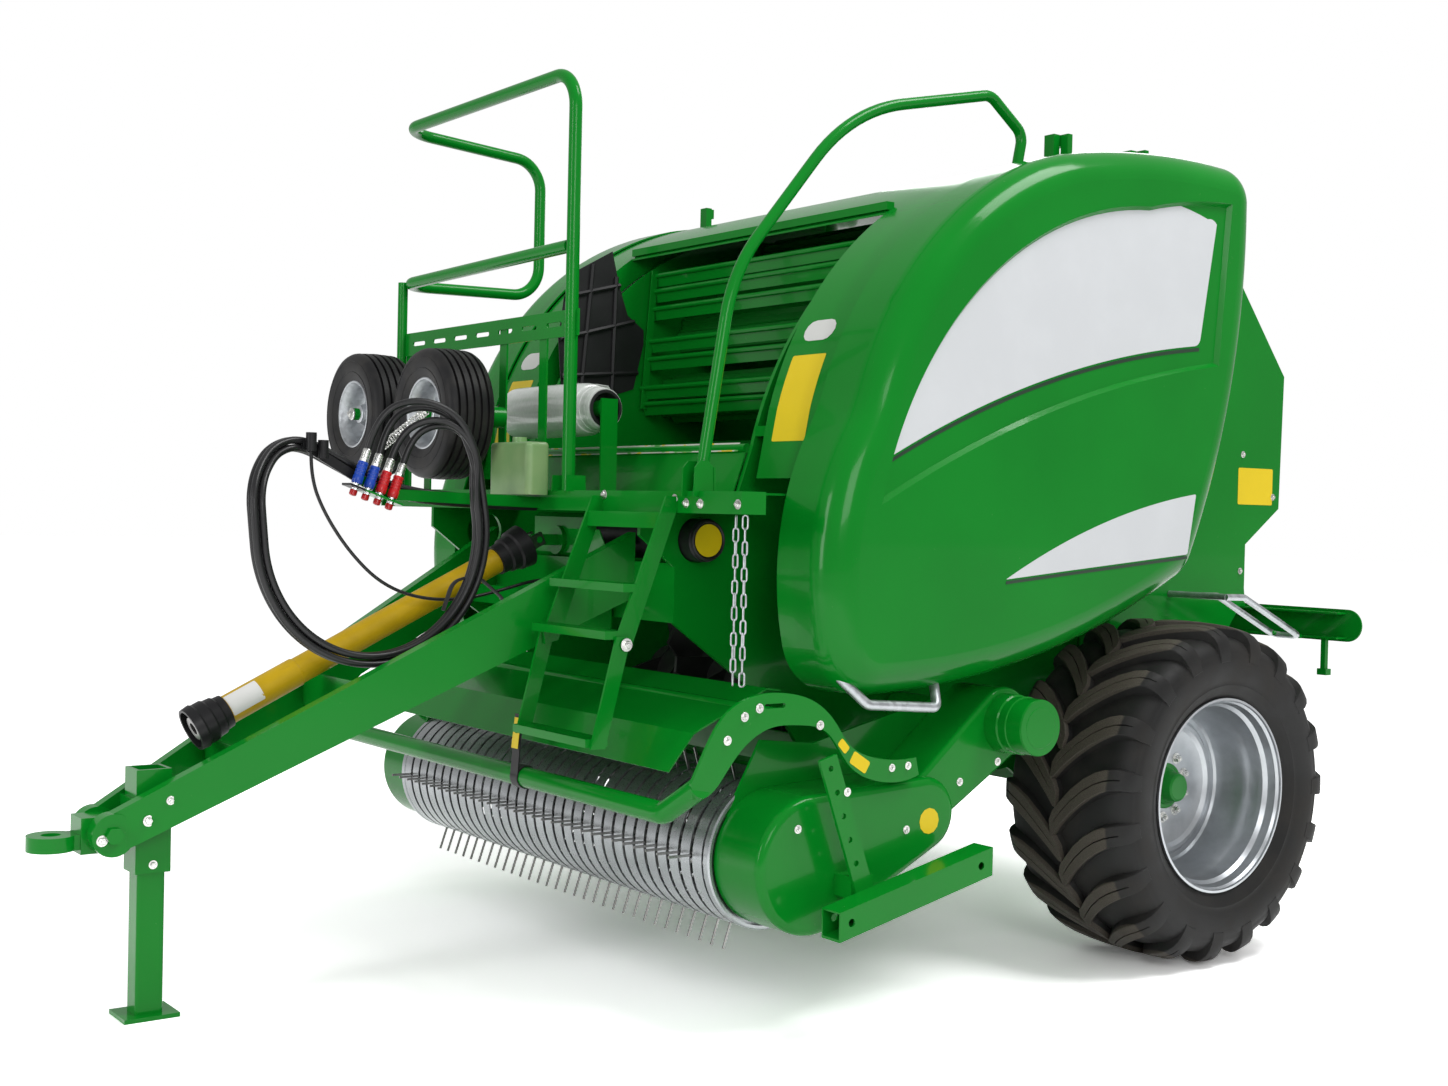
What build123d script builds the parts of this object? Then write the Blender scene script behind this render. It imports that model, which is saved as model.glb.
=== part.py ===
from build123d import *
import os
from math import atan2, cos, hypot, radians, sin, tan

os.makedirs("parts", exist_ok=True)

# A towed fixed-chamber round baler. X is the machine's left, Y runs rearwards, Z is up.
# Places along the machine are counted from the wheel axle, + behind it, in millimetres.

# ---- overall sizes ----
EYE_REACH = 3235         # tow eye's centre in front of the axle
EYE_R = 62
EYE_HOLE_R = 25
TAILGATE_REACH = 935     # rearmost face of the tailgate behind the axle
AXLE_Y = (EYE_REACH + EYE_R - TAILGATE_REACH) / 2    # puts the origin at the middle of the length
CLEAR = 0.3              # gap at faces that seat or slide
BORE_CLEAR = 0.05        # radial gap of a pin in its bore
SHEET = 5                # cover sheets

# ---- wheels ----
AXLE_Z = 542
TYRE_R = 542
TYRE_W = 500
TYRE_X = 1025            # middle of the tyre from the centre line
RIM_R = 298
RIM_W = 440
RIM_HALF_SEAT = 205      # half the distance between the bead seats
AXLE_BAR = 120
HUB_R = 85
SPINDLE_R = 35
HUB_IN = 830
RIM_DISC_X = 20          # the rim disc's outer face, outwards from the tyre's middle

# ---- bale chamber ----
CHAMBER_Y = -130
CHAMBER_Z = 1690
ROLLER_CIRCLE_R = 715
ROLLER_R = 88
FIXED_ROLLERS = (90, 110, 130, 150, 170, 190, 210, 250, 270)    # degrees round the chamber
TAILGATE_ROLLERS = (290, 310, 330, 350, 10, 30, 50)
ROLLER_RIBS = 8
CHAMBER_HALF = 612       # half length of the rollers
SIDE_X = 618             # inner face of the side plates
SIDE_T = 15
PARTING = 6              # half gap between the fixed half and the tailgate

# ---- covers ----
BAND_IN = 700            # front bands run from here
BAND_OUT = 930           # to here
DOOR_IN = 936
DOOR_OUT = 1170
DOOR_T = 6
DOOR_ROUND = 95
RECESS = 14
DOOR_HINGE_X = 925
DOOR_HINGE_Z = 2585
DOOR_HINGES = (-470, -110)
DOOR_PIN_R = 6
ROOF_FRONT = -985        # the roof's front lip
BAND_STAYS = ((-470, 2430), (-110, 2455), (-1125, 2130), (-1400, 1640))
TAILGATE_OUT = 762       # just inside the tyres
SKIN_T = 8
TAILGATE_HINGE_Z = 2470
TAILGATE_PIN_R = 18
EAR_X = (660, 680)
LIGHT_BEAM_HALF = 1200
LIGHT_BEAM_Z = 1055
TIE_R = 10               # rod loops over the tyres

# ---- drawbar ----
NOSE_Y = -3100
NOSE_Z = 514
NOSE_R = 57
NOSE_GAP = 46            # half gap between the beams at the nose
BEAM_W = 40
BEAM_WALL = 7
NOSE_FACE = NOSE_GAP + BEAM_W + 8    # outer face of the nose bosses
BEAM_REAR_Y = -1700
BEAM_REAR_GAP = 390
BEAM_LOW = (457, 1143)   # lower edge at the nose and at the rear
BEAM_HIGH = (571, 1335)
CROSS_Y = -1700          # front face of the main crossbeam
CROSS_DEPTH = 120
CROSS_LOW = 1080
CROSS_HIGH = 1250

TONGUE_BOLT_R = 15

# ---- jack ----
JACK_Y = -2980
JACK_TUBE = 75
JACK_WALL = 6
JACK_TOP = 570
JACK_FOOT = (130, 150, 12)
SLEEVE_WALL = 10
SLEEVE_LOW = 395
SLEEVE_HIGH = 675
SLEEVE_HALF = JACK_TUBE / 2 + CLEAR + SLEEVE_WALL
SLEEVE_FRONT = JACK_Y - SLEEVE_HALF
SLEEVE_REAR = JACK_Y + SLEEVE_HALF

# ---- driveline ----
PTO_PIVOT_Y = -1790
PTO_PIVOT_Z = 1302
PTO_FRONT_Y = -2860
PTO_FRONT_Z = 771
PTO_TUBE_R = 39
PTO_WALL = 4
PTO_BORE_R = 17.5
PTO_PIN_R = 10
PTO_SHAFT_R = 25
PTO_BORE_DEPTH = 76      # the length of a standard splined end

GEARBOX = (-150, 150, -1700, -1520, CROSS_HIGH, 1388)
SIDE_SHAFT_Y = -1624
SIDE_SHAFT_Z = 1318
SIDE_SHAFT_R = 62

CABLE_GLAND = (100, -1715, 1185)
CABLE_START = (92, -2570, 1545)    # below the boot on the hose holder

# ---- pick-up ----
ROTOR_Y = -830           # feed rotor's axis, which also carries the pick-up
ROTOR_Z = 800
ROTOR_R = 250
ROTOR_SHAFT_R = 30
ROTOR_SHAFT_END = 690
REEL_Y = -1560
REEL_Z = 455
BAND_R = 210             # outer radius of the stripper bands
BAND_COUNT = 32
BAND_PITCH = 56
BAND_W = 42
BAND_T = 4
TINE_R = 285
TINE_BARS = 5
REEL_BAR_R = 140
PICKUP_HALF = 912        # inner face of the pick-up's side plates
REEL_HALF = 890          # half length of the tine bars
TINE_BAR_R = 14
TINE_T = 4
END_X = PICKUP_HALF + 10 + CLEAR    # the end covers start here
END_OUT = 1120
END_R = 190
END_REAR = (-1150, 560)
END_REAR_R = 105
CASE_R = 105
CASE_OUT = 1100
ARM_X = (1200, 1275)     # the gauge wheel arms
GUARD_ARM_X = 1130
HOOD_HALF = 880

PIVOT_R = 50             # fixed tube on each side plate that the pick-up swings on
PIVOT_END = 952
REEL_SHAFT_R = 22
REEL_TUBE = (-1275, -1195, 550, 630)    # the pick-up's cross tube: front, rear, low, high

# ---- platform ----
PLATFORM_Y = -1820       # front face of the platform's beam
PLATFORM_LOW = 1395
PLATFORM_HIGH = 1455
PLATFORM_DEPTH = 80
PLATFORM_LEFT = 1100
PLATFORM_RIGHT = 950
DECK_HALF = 925
CHAIN_X = (1020, 1060)
CHAIN_Y = -1776
CHAIN_LOW = 940
CHAIN_R = 9
LADDER_X = (420, 820)
KNEE_Y = -1985
KNEE_Z = 1040
RACK_X = (-940, 240)
RACK_Y = -1800
RACK_PLATE_Y = -1795
RAIL_X = 880
STUB_R = 20
ROLL_X = (-500, 40)
ROLL_Y = -1560
ROLL_Z = 1720
ROLL_R = 88
ROLL_BORE_R = 30
TANK = (-100, 140, -1900, PLATFORM_Y - CLEAR, 1440, 1600)
HOLDER_X = (70, 130)
COUPLER_X = 103
COUPLER_Z = 1450         # where the parked couplers pass through the holder's plate
COUPLER_PLACES = (-2440, -2403, -2366, -2329)
COUPLER_R = 11
COUPLER_LEAN = 19        # degrees that the couplers' tops lean to the rear
COUPLER_TOP = 112        # top end, up along a coupler from the plate
COIL_X = 170
COIL_Y = -2390
COIL_Z = 1320
COIL_R = 365
COIL_BUNDLE_R = 28
COIL_START = 176         # degrees round the coil, from its rear side over the top
COIL_END = 380
HOSE_R = 11
HOSE_LANE = 11.5         # each hose's distance from the bundle's middle, both ways
LEAD_X = 46
LEAD_R = 22
GAUGE_R = 205
GAUGE_W = 165
GAUGE_Y = -2000
GAUGE_PLACES = ((-218, 1687), (-730, 1700))


def at(x, y, z):
    """A point given by its distance behind the axle."""
    return Vector(x, AXLE_Y + y, z)


def side(x=0):
    """The side plane at width x: first axis rearwards from the axle, second axis up."""
    return Plane(origin=at(x, 0, 0), x_dir=(0, 1, 0), z_dir=(1, 0, 0))


def front(y=0):
    """The front plane at distance y behind the axle: first axis X, second axis up, facing forwards."""
    return Plane(origin=at(0, y, 0), x_dir=(1, 0, 0), z_dir=(0, -1, 0))


def level(z=0):
    """The level plane at height z: first axis X, second axis rearwards from the axle."""
    return Plane(origin=at(0, 0, z), x_dir=(1, 0, 0), z_dir=(0, 0, 1))


def save(solid, name):
    solid.label = name
    export_step(solid, f"parts/{name}.step")


def other_side(solid):
    """The same piece on the machine's other side."""
    return mirror(solid, about=Plane.YZ)


def box(x0, x1, y0, y1, z0, z1):
    """A block between two corners, y from the axle."""
    with BuildPart() as block:
        with BuildSketch(level(z0)):
            with Locations(((x0 + x1) / 2, (y0 + y1) / 2)):
                Rectangle(abs(x1 - x0), abs(y1 - y0))
        extrude(amount=z1 - z0)
    return block.part


def side_shape(points, x0, x1):
    """A straight-edged side outline, extruded from x0 to x1."""
    with BuildPart() as plate:
        with BuildSketch(side(x0)):
            with BuildLine():
                Polyline(*points, close=True)
            make_face()
        extrude(amount=x1 - x0)
    return plate.part


def cross_bar(x0, x1, y, z, radius, bore=0):
    """A round bar or tube across the machine."""
    with BuildPart() as bar:
        with BuildSketch(side(x0)):
            with Locations((y, z)):
                Circle(radius)
                if bore:
                    Circle(bore, mode=Mode.SUBTRACT)
        extrude(amount=x1 - x0)
    return bar.part


def bent_tube(points, bend, radius):
    """A round bar along straight runs with one bend radius."""
    with BuildPart() as tube:
        with BuildLine() as path:
            if len(points) == 2:
                Line(*points)
            else:
                FilletPolyline(*points, radius=bend)
        with BuildSketch(Plane(origin=path.wire() @ 0, z_dir=path.wire() % 0)):
            Circle(radius)
        sweep(path=path.wire())
    return tube.part


def along(value_pair, y):
    """A drawbar size at distance y, between its nose and rear values."""
    share = (y - NOSE_Y) / (BEAM_REAR_Y - NOSE_Y)
    return value_pair[0] + share * (value_pair[1] - value_pair[0])


def beam_gap(y):
    """Half the clear width between the drawbar's beams."""
    return along((NOSE_GAP, BEAM_REAR_GAP), y)


# ---- drawbar: two tapering box beams that meet at the tow eye ----

def drawbar_beam(inset):
    """The left beam's outer form, or its hollow when inset by the wall."""
    with BuildPart() as beam:
        with BuildSketch(level(BEAM_LOW[0])):
            with BuildLine():
                Polyline((NOSE_GAP + inset, NOSE_Y), (NOSE_GAP + BEAM_W - inset, NOSE_Y),
                         (BEAM_REAR_GAP + BEAM_W - inset, BEAM_REAR_Y), (BEAM_REAR_GAP + inset, BEAM_REAR_Y),
                         close=True)
            make_face()
        extrude(amount=BEAM_HIGH[1] - BEAM_LOW[0])
        add(side_shape(((NOSE_Y, BEAM_LOW[0] + inset), (BEAM_REAR_Y, BEAM_LOW[1] + inset),
                        (BEAM_REAR_Y, BEAM_HIGH[1] - inset), (NOSE_Y, BEAM_HIGH[0] - inset)),
                       0, BEAM_REAR_GAP + BEAM_W), mode=Mode.INTERSECT)
    return beam.part


def build_jack_sleeve():
    """The square sleeve between the beams with its collar."""
    bore = JACK_TUBE / 2 + CLEAR
    with BuildPart() as sleeve:
        add(box(-SLEEVE_HALF, SLEEVE_HALF, SLEEVE_FRONT, SLEEVE_REAR, SLEEVE_LOW, SLEEVE_HIGH))
        half = beam_gap(SLEEVE_REAR) + 3
        add(box(-half, half, SLEEVE_FRONT - 10, SLEEVE_REAR + 10, 530, 560))
        add(box(-bore, bore, JACK_Y - bore, JACK_Y + bore, 0, 800), mode=Mode.SUBTRACT)
    return sleeve.part


def build_drawbar():
    with BuildPart() as beam:
        add(drawbar_beam(0))
        add(drawbar_beam(BEAM_WALL), mode=Mode.SUBTRACT)
        add(cross_bar(NOSE_GAP, NOSE_FACE, NOSE_Y, NOSE_Z, NOSE_R))
        add(cross_bar(NOSE_GAP - 1, NOSE_FACE + 1, NOSE_Y, NOSE_Z, TONGUE_BOLT_R + CLEAR),
            mode=Mode.SUBTRACT)
    plates = (            # front face, rear face, bottom, top
        (SLEEVE_FRONT - 10, SLEEVE_FRONT, 500, 600),
        (SLEEVE_REAR, SLEEVE_REAR + 10, 545, 650),
        (-2780, -2770, 640, 730),
        (-2455, -2445, 800, 900),
        (-1812, -1800, 1092, 1150),
    )
    with BuildPart() as drawbar:
        add(beam.part)
        add(other_side(beam.part))
        for y0, y1, z0, z1 in plates:
            half = beam_gap(y0) + 3
            add(box(-half, half, y0, y1, z0, z1))
        add(build_jack_sleeve())
    return drawbar.part


# ---- tow eye: a flat forged ring on a tongue, bolted between the nose cheeks ----

def build_tow_eye():
    with BuildPart() as eye:
        with BuildSketch(level(NOSE_Z - 40)):
            with Locations((0, -EYE_REACH)):
                Circle(EYE_R)
            with BuildLine():
                Polyline((-26, -EYE_REACH), (-40, NOSE_Y - NOSE_R - 12), (40, NOSE_Y - NOSE_R - 12),
                         (26, -EYE_REACH), close=True)
            make_face()
            with Locations((0, -EYE_REACH)):
                Circle(EYE_HOLE_R, mode=Mode.SUBTRACT)
        extrude(amount=40)
        add(box(-NOSE_GAP + CLEAR, NOSE_GAP - CLEAR, NOSE_Y - NOSE_R - 14, NOSE_Y + 55,
                NOSE_Z - 52, NOSE_Z + 44))
        add(cross_bar(-NOSE_FACE - 12, NOSE_FACE + 12, NOSE_Y, NOSE_Z, TONGUE_BOLT_R))
        for x in (-NOSE_FACE - 14, NOSE_FACE + CLEAR):
            with BuildSketch(side(x)):
                with Locations((NOSE_Y, NOSE_Z)):
                    RegularPolygon(24, 6)
            extrude(amount=14 - CLEAR)
    return eye.part


# ---- jack: a square leg that slides in a sleeve under the drawbar ----

def build_jack_leg():
    foot_x, foot_y, foot_t = JACK_FOOT
    with BuildPart() as leg:
        add(box(-foot_x / 2, foot_x / 2, JACK_Y - foot_y / 2, JACK_Y + foot_y / 2, 0, foot_t))
        with BuildSketch(level(foot_t)):
            with Locations((0, JACK_Y)):
                RectangleRounded(JACK_TUBE, JACK_TUBE, 8)
                RectangleRounded(JACK_TUBE - 2 * JACK_WALL, JACK_TUBE - 2 * JACK_WALL, 4, mode=Mode.SUBTRACT)
        extrude(amount=JACK_TOP - foot_t)
    return leg.part


# ---- driveline: guarded shaft, gearbox and side shaft ----

PTO_RISE = atan2(PTO_PIVOT_Z - PTO_FRONT_Z, PTO_PIVOT_Y - PTO_FRONT_Y)
PTO_LENGTH = hypot(PTO_PIVOT_Z - PTO_FRONT_Z, PTO_PIVOT_Y - PTO_FRONT_Y)
PTO_PLANE = Plane(origin=at(0, PTO_FRONT_Y, PTO_FRONT_Z), x_dir=(1, 0, 0),
                  z_dir=(0, cos(PTO_RISE), sin(PTO_RISE)))

def pto_cylinder(start, end, radius):
    """A round bar on the shaft's axis, start and end counted from its front end."""
    with BuildPart() as bar:
        with BuildSketch(PTO_PLANE.offset(start)):
            Circle(radius)
        extrude(amount=end - start)
    return bar.part


def pto_revolve(outline):
    """A turned piece on the shaft's axis, from (distance, radius) pairs."""
    with BuildPart() as turned:
        plane = Plane(origin=PTO_PLANE.origin, x_dir=PTO_PLANE.z_dir, z_dir=(1, 0, 0))
        with BuildSketch(plane):
            with BuildLine():
                Polyline(*outline, close=True)
            make_face()
        revolve(axis=Axis(PTO_PLANE.origin, PTO_PLANE.z_dir))
    return turned.part


def build_pto_guard():
    """The guard tube and the ridged rubber cones at its ends."""
    inner = PTO_TUBE_R - PTO_WALL
    end = PTO_LENGTH - 130
    tube = ((62, inner), (62, PTO_TUBE_R + 3), (330, PTO_TUBE_R + 3), (336, PTO_TUBE_R),
            (end, PTO_TUBE_R), (end, inner))
    front_cone = ((-6, 54), (-6, 62), (18, 65), (24, 61), (50, 61), (56, 57), (78, 55), (84, 50), (104, 48),
                  (104, PTO_TUBE_R), (66, PTO_TUBE_R), (58, 46), (20, 54))
    start = end - 20
    rear_cone = ((start, PTO_TUBE_R - 1), (start, 46), (start + 30, 48), (start + 36, 54), (start + 62, 56),
                 (start + 68, 63), (start + 108, 68), (start + 108, 62), (start + 60, 50),
                 (start + 21, PTO_TUBE_R - 1))
    bearing = PTO_SHAFT_R + CLEAR
    with BuildPart() as guard:
        add(pto_revolve(tube))
        for place in (66, end - 20):
            add(pto_revolve(((place, bearing), (place, inner), (place + 20, inner), (place + 20, bearing))))
        add(pto_revolve(front_cone))
        add(pto_revolve(rear_cone))
    return guard.part


def build_pto_shaft():
    """The shaft with its front yoke, splined for the tractor, and its rear fork."""
    with BuildPart() as shaft:
        add(pto_revolve(((2, PTO_BORE_R), (2, 34), (52, 34), (60, PTO_SHAFT_R), (PTO_LENGTH - 60, PTO_SHAFT_R),
                         (PTO_LENGTH - 60, 0), (2 + PTO_BORE_DEPTH, 0), (2 + PTO_BORE_DEPTH, PTO_BORE_R))))
        fork = (PTO_LENGTH - 66, PTO_LENGTH + 16)
        with BuildSketch(PTO_PLANE.offset(fork[0])):
            Rectangle(68, 40)
        extrude(amount=fork[1] - fork[0])
        with BuildSketch(PTO_PLANE.offset(PTO_LENGTH - 42)):
            Rectangle(44, 60)
        extrude(amount=80, mode=Mode.SUBTRACT)
        add(cross_bar(-50, 50, PTO_PIVOT_Y, PTO_PIVOT_Z, PTO_PIN_R + BORE_CLEAR), mode=Mode.SUBTRACT)
    return shaft.part


def build_gearbox():
    """The gearbox, its input shaft and the guard tube over the side shaft."""
    with BuildPart() as gearbox:
        add(box(*GEARBOX))
        chamfer(gearbox.edges().filter_by(Axis.X), 14)
        with BuildSketch(front(GEARBOX[2])):
            with Locations((0, PTO_PIVOT_Z)):
                Circle(45)
        extrude(amount=14)
        with BuildSketch(front(GEARBOX[2])):
            with Locations((0, PTO_PIVOT_Z)):
                Rectangle(24, 34)
        extrude(amount=GEARBOX[2] - PTO_PIVOT_Y + 17)
        add(cross_bar(-34, 34, PTO_PIVOT_Y, PTO_PIVOT_Z, PTO_PIN_R))
        add(cross_bar(GEARBOX[1] - 1, 690, SIDE_SHAFT_Y, SIDE_SHAFT_Z, SIDE_SHAFT_R))
        chamfer(gearbox.edges().filter_by(GeomType.CIRCLE).sort_by(Axis.X)[-1], 10)
    return gearbox.part


# ---- chassis: crossbeam, axle and the two side plates that carry the chamber ----

def build_crossbeam():
    with BuildPart() as beam:
        add(box(-SIDE_X, SIDE_X, CROSS_Y, CROSS_Y + CROSS_DEPTH, CROSS_LOW, CROSS_HIGH))
        add(box(-SIDE_X, SIDE_X, CROSS_Y + 8, CROSS_Y + CROSS_DEPTH - 8, CROSS_LOW + 8, CROSS_HIGH - 8),
            mode=Mode.SUBTRACT)
        guard = ((-1712, 1040), (-1712, 1240), (-1760, 1340), (-1764, 1340), (-1716, 1238), (-1716, 1040))
        add(side_shape(guard, 150, 330))
        add(box(170, 310, -1712, CROSS_Y, 1100, 1220))
        add(box(CABLE_GLAND[0] - 12, CABLE_GLAND[0] + 12, CABLE_GLAND[1], CROSS_Y,
                CABLE_GLAND[2] - 12, CABLE_GLAND[2] + 12))
    return beam.part


def build_axle():
    half = AXLE_BAR / 2
    with BuildPart() as axle:
        add(box(-740, 740, -half, half, AXLE_Z - half, AXLE_Z + half))
        add(box(-730, 730, -half + 10, half - 10, AXLE_Z - half + 10, AXLE_Z + half - 10), mode=Mode.SUBTRACT)
        for x0, x1 in ((740, HUB_IN - 4), (-HUB_IN + 4, -740)):
            add(cross_bar(x0, x1, 0, AXLE_Z, 60))
        for x0, x1 in ((740, 980), (-980, -740)):
            add(cross_bar(x0, x1, 0, AXLE_Z, SPINDLE_R))
    return axle.part


def side_plate_outline():
    """The plate's edge: platform arm, cover curve, parting line and axle seat."""
    lower = Polyline((-PARTING, 2390), (-PARTING, 876), (150, 720), (150, 450), (-150, 450), (-330, 575),
                     (-800, 520), (-1150, 585), (-1300, 800), (CROSS_Y, CROSS_LOW), (CROSS_Y, 1240),
                     (PLATFORM_Y, 1330), (PLATFORM_Y, PLATFORM_LOW), (-1500, PLATFORM_LOW), (-1430, 1590))
    curve = ThreePointArc((-1430, 1590), (-1130, 2130), (-650, 2420))
    Polyline((-650, 2420), (-90, 2465), (-90, 2390), (-PARTING, 2390))
    return lower, curve


def build_side_plate():
    half = AXLE_BAR / 2 + CLEAR
    with BuildPart() as plate:
        with BuildSketch(side(SIDE_X)):
            with BuildLine():
                side_plate_outline()
            make_face()
            with Locations((0, AXLE_Z)):
                Rectangle(2 * half, 2 * half, mode=Mode.SUBTRACT)
            with Locations((SIDE_SHAFT_Y, SIDE_SHAFT_Z)):
                Circle(SIDE_SHAFT_R + 4, mode=Mode.SUBTRACT)
            with Locations((ROTOR_Y, ROTOR_Z)):
                Circle(ROTOR_SHAFT_R + BORE_CLEAR, mode=Mode.SUBTRACT)
        extrude(amount=SIDE_T)
        add(side_shape(((-170, 2400), (-170, 2452), (0, TAILGATE_HINGE_Z + 34), (0, TAILGATE_HINGE_Z - 34)),
                       SIDE_X, SIDE_X + SIDE_T))
        add(cross_bar(SIDE_X, SIDE_X + SIDE_T, 0, TAILGATE_HINGE_Z, 40))
        add(cross_bar(SIDE_X, 700, 0, TAILGATE_HINGE_Z, TAILGATE_PIN_R))
        add(cross_bar(SIDE_X + SIDE_T, PIVOT_END, ROTOR_Y, ROTOR_Z, PIVOT_R))
        add(cross_bar(SIDE_X + SIDE_T, ROTOR_SHAFT_END + 10, ROTOR_Y, ROTOR_Z, ROTOR_SHAFT_R + 6),
            mode=Mode.SUBTRACT)
        for y, z in BAND_STAYS:
            add(box(SIDE_X + SIDE_T, BAND_IN, y - 20, y + 20, z - 15, z + 15))
    return plate.part


# ---- chamber rollers ----

def roller_profile():
    """A drum with straight driving ribs, as a closed ring of points."""
    points = []
    for rib in range(ROLLER_RIBS):
        middle = 360 / ROLLER_RIBS * rib
        for turn, radius in ((-13, ROLLER_R - 13), (-5, ROLLER_R), (5, ROLLER_R), (13, ROLLER_R - 13)):
            angle = radians(middle + turn)
            points.append((radius * cos(angle), radius * sin(angle)))
    return points


def build_rollers(angles):
    with BuildPart() as rollers:
        for angle in angles:
            y = CHAMBER_Y + ROLLER_CIRCLE_R * cos(radians(angle))
            z = CHAMBER_Z + ROLLER_CIRCLE_R * sin(radians(angle))
            with BuildSketch(side(-CHAMBER_HALF)):
                with Locations((y, z)):
                    Polygon(*roller_profile(), align=None)
            extrude(amount=2 * CHAMBER_HALF)
            with BuildSketch(side(-SIDE_X)):
                with Locations((y, z)):
                    Circle(26)
            extrude(amount=2 * SIDE_X)
    return rollers.part


# ---- covers: roof, front bands and side doors ----

def cover_region(inset):
    """The side area under the cover curve, drawn inwards by inset."""
    with BuildSketch(Plane.XY, mode=Mode.PRIVATE) as region:
        with BuildLine():
            Line((-60, 1500), (-60, 2535 - inset))
            ThreePointArc((-60, 2535 - inset), (-340, 2528 - inset), (-640 + 0.3 * inset, 2488 - inset))
            ThreePointArc((-640 + 0.3 * inset, 2488 - inset), (-1140 + 0.72 * inset, 2195 - 0.72 * inset),
                          (-1425 + inset, 1700))
            Polyline((-1425 + inset, 1700), (-1465 + inset, 1500), (-60, 1500))
        make_face()
    return region.sketch


def cover_strip(x0, x1, shallow, deep):
    """The strip between two insets of the cover curve, from x0 to x1."""
    with BuildPart() as strip:
        with BuildSketch(side(x0)):
            add(cover_region(shallow))
            add(cover_region(deep), mode=Mode.SUBTRACT)
        extrude(amount=x1 - x0)
    return strip.part


def build_front_cover():
    """The roof over the chamber and the painted band down each side of the front opening."""
    with BuildPart() as band:
        add(cover_strip(BAND_IN, BAND_OUT, 0, SHEET))
        add(cover_strip(BAND_IN, BAND_IN + SHEET, 0, 70))
        add(cover_strip(BAND_OUT - SHEET, BAND_OUT, 0, 35))
        for y in DOOR_HINGES:
            add(box(895, DOOR_HINGE_X + 10, y - 40, y - 14, 2500, DOOR_HINGE_Z + 12))
            with BuildSketch(front(y - 40)):
                with Locations((DOOR_HINGE_X, DOOR_HINGE_Z)):
                    Circle(DOOR_PIN_R)
            extrude(amount=-54)
    with BuildPart() as cover:
        add(cover_strip(-BAND_IN, BAND_IN, 0, SHEET))
        add(box(-BAND_IN, BAND_IN, -1600, ROOF_FRONT, 1400, 2600), mode=Mode.SUBTRACT)
        add(box(-BAND_IN, BAND_IN, ROOF_FRONT, ROOF_FRONT + 30, 2335, 2360))
        add(band.part)
        add(other_side(band.part))
    return cover.part


def door_outline(inset):
    with BuildSketch(Plane.XY, mode=Mode.PRIVATE) as outline:
        with BuildLine():
            ThreePointArc((-640, 2494), (-230, 2550), (200, 2543))
            ThreePointArc((200, 2543), (152, 1850), (-60, 1240))
            ThreePointArc((-60, 1240), (-640, 1010), (-1500, 905))
            ThreePointArc((-1500, 905), (-1568, 1250), (-1432, 1700))
            ThreePointArc((-1432, 1700), (-1148, 2202), (-640, 2494))
        make_face()
        if inset:
            offset(amount=-inset, kind=Kind.INTERSECTION)
        for corner, radius in (((-1500, 905), 170), ((200, 2543), 120), ((-60, 1240), 150),
                               ((-640, 2494), 600), ((-1432, 1700), 600)):
            fillet(outline.vertices().sort_by_distance(corner)[0], radius - inset)
    return outline.sketch


def door_form(inset):
    """The door's rounded body, or its hollow when inset by the wall."""
    with BuildPart() as form:
        with BuildSketch(side(DOOR_IN)):
            add(door_outline(inset))
        extrude(amount=DOOR_OUT - DOOR_IN - inset)
        fillet(form.faces().sort_by(Axis.X)[-1].edges(), DOOR_ROUND - inset)
    return form.part


def recess(grow, depth):
    """The shallow bevelled recess round the pale panel."""
    with BuildPart() as pocket:
        with BuildSketch(side(DOOR_OUT)):
            with BuildLine():
                ThreePointArc((-1395, 1430), (-1075, 2020), (-320, 2365))
                ThreePointArc((-320, 2365), (-120, 2405), (70, 2420))
                Line((70, 2420), (22, 1900))
                ThreePointArc((22, 1900), (-640, 1748), (-1395, 1430))
            make_face()
            if grow:
                offset(amount=grow)
        extrude(amount=-depth, taper=40)
    return pocket.part


def door_body(wall):
    """The door's body with its recess, or its hollow when drawn in by the wall."""
    with BuildPart() as body:
        add(door_form(wall))
        add(recess(wall, RECESS + wall), mode=Mode.SUBTRACT)
    return body.part


def build_door():
    with BuildPart() as shell:
        add(door_body(0))
        add(door_body(DOOR_T), mode=Mode.SUBTRACT)
    with BuildPart() as door:
        add(shell.part)
        for y in DOOR_HINGES:
            add(box(DOOR_IN, 966, y - 10, y + 10, 2500, DOOR_HINGE_Z + 12))
            add(box(DOOR_HINGE_X - 12, 966, y - 10, y + 10, DOOR_HINGE_Z - 24, DOOR_HINGE_Z + 12))
            with BuildSketch(front(y - 30)):
                with Locations((DOOR_HINGE_X, DOOR_HINGE_Z)):
                    Circle(DOOR_PIN_R + BORE_CLEAR)
            extrude(amount=-60, mode=Mode.SUBTRACT)
        x = 1085
        handle = [at(x, -1500, 985), at(x + 60, -1410, 885), at(x + 60, -1150, 865), at(x, -1115, 960)]
        add(bent_tube(handle, 28, 13))
    return door.part


# ---- tailgate: two cheeks, a folded skin, rollers and the light beam ----

CHEEK_OUTLINE = ((PARTING, 880), (300, 880), (620, 1000), (727, 1126), (727, 1326), (917, 1458),
                 (TAILGATE_REACH - SHEET, 1943), (665, 2258), (360, 2415), (120, 2440), (PARTING, 2300))
def cheek_form(inset):
    """The cheek's outer form, or its hollow when inset by the wall."""
    with BuildPart() as form:
        with BuildSketch(side(SIDE_X + inset)):
            with BuildLine():
                Polyline(*CHEEK_OUTLINE, close=True)
            make_face()
            if inset:
                offset(amount=-inset)
        extrude(amount=TAILGATE_OUT - SIDE_X - 2 * inset)
    return form.part


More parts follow.
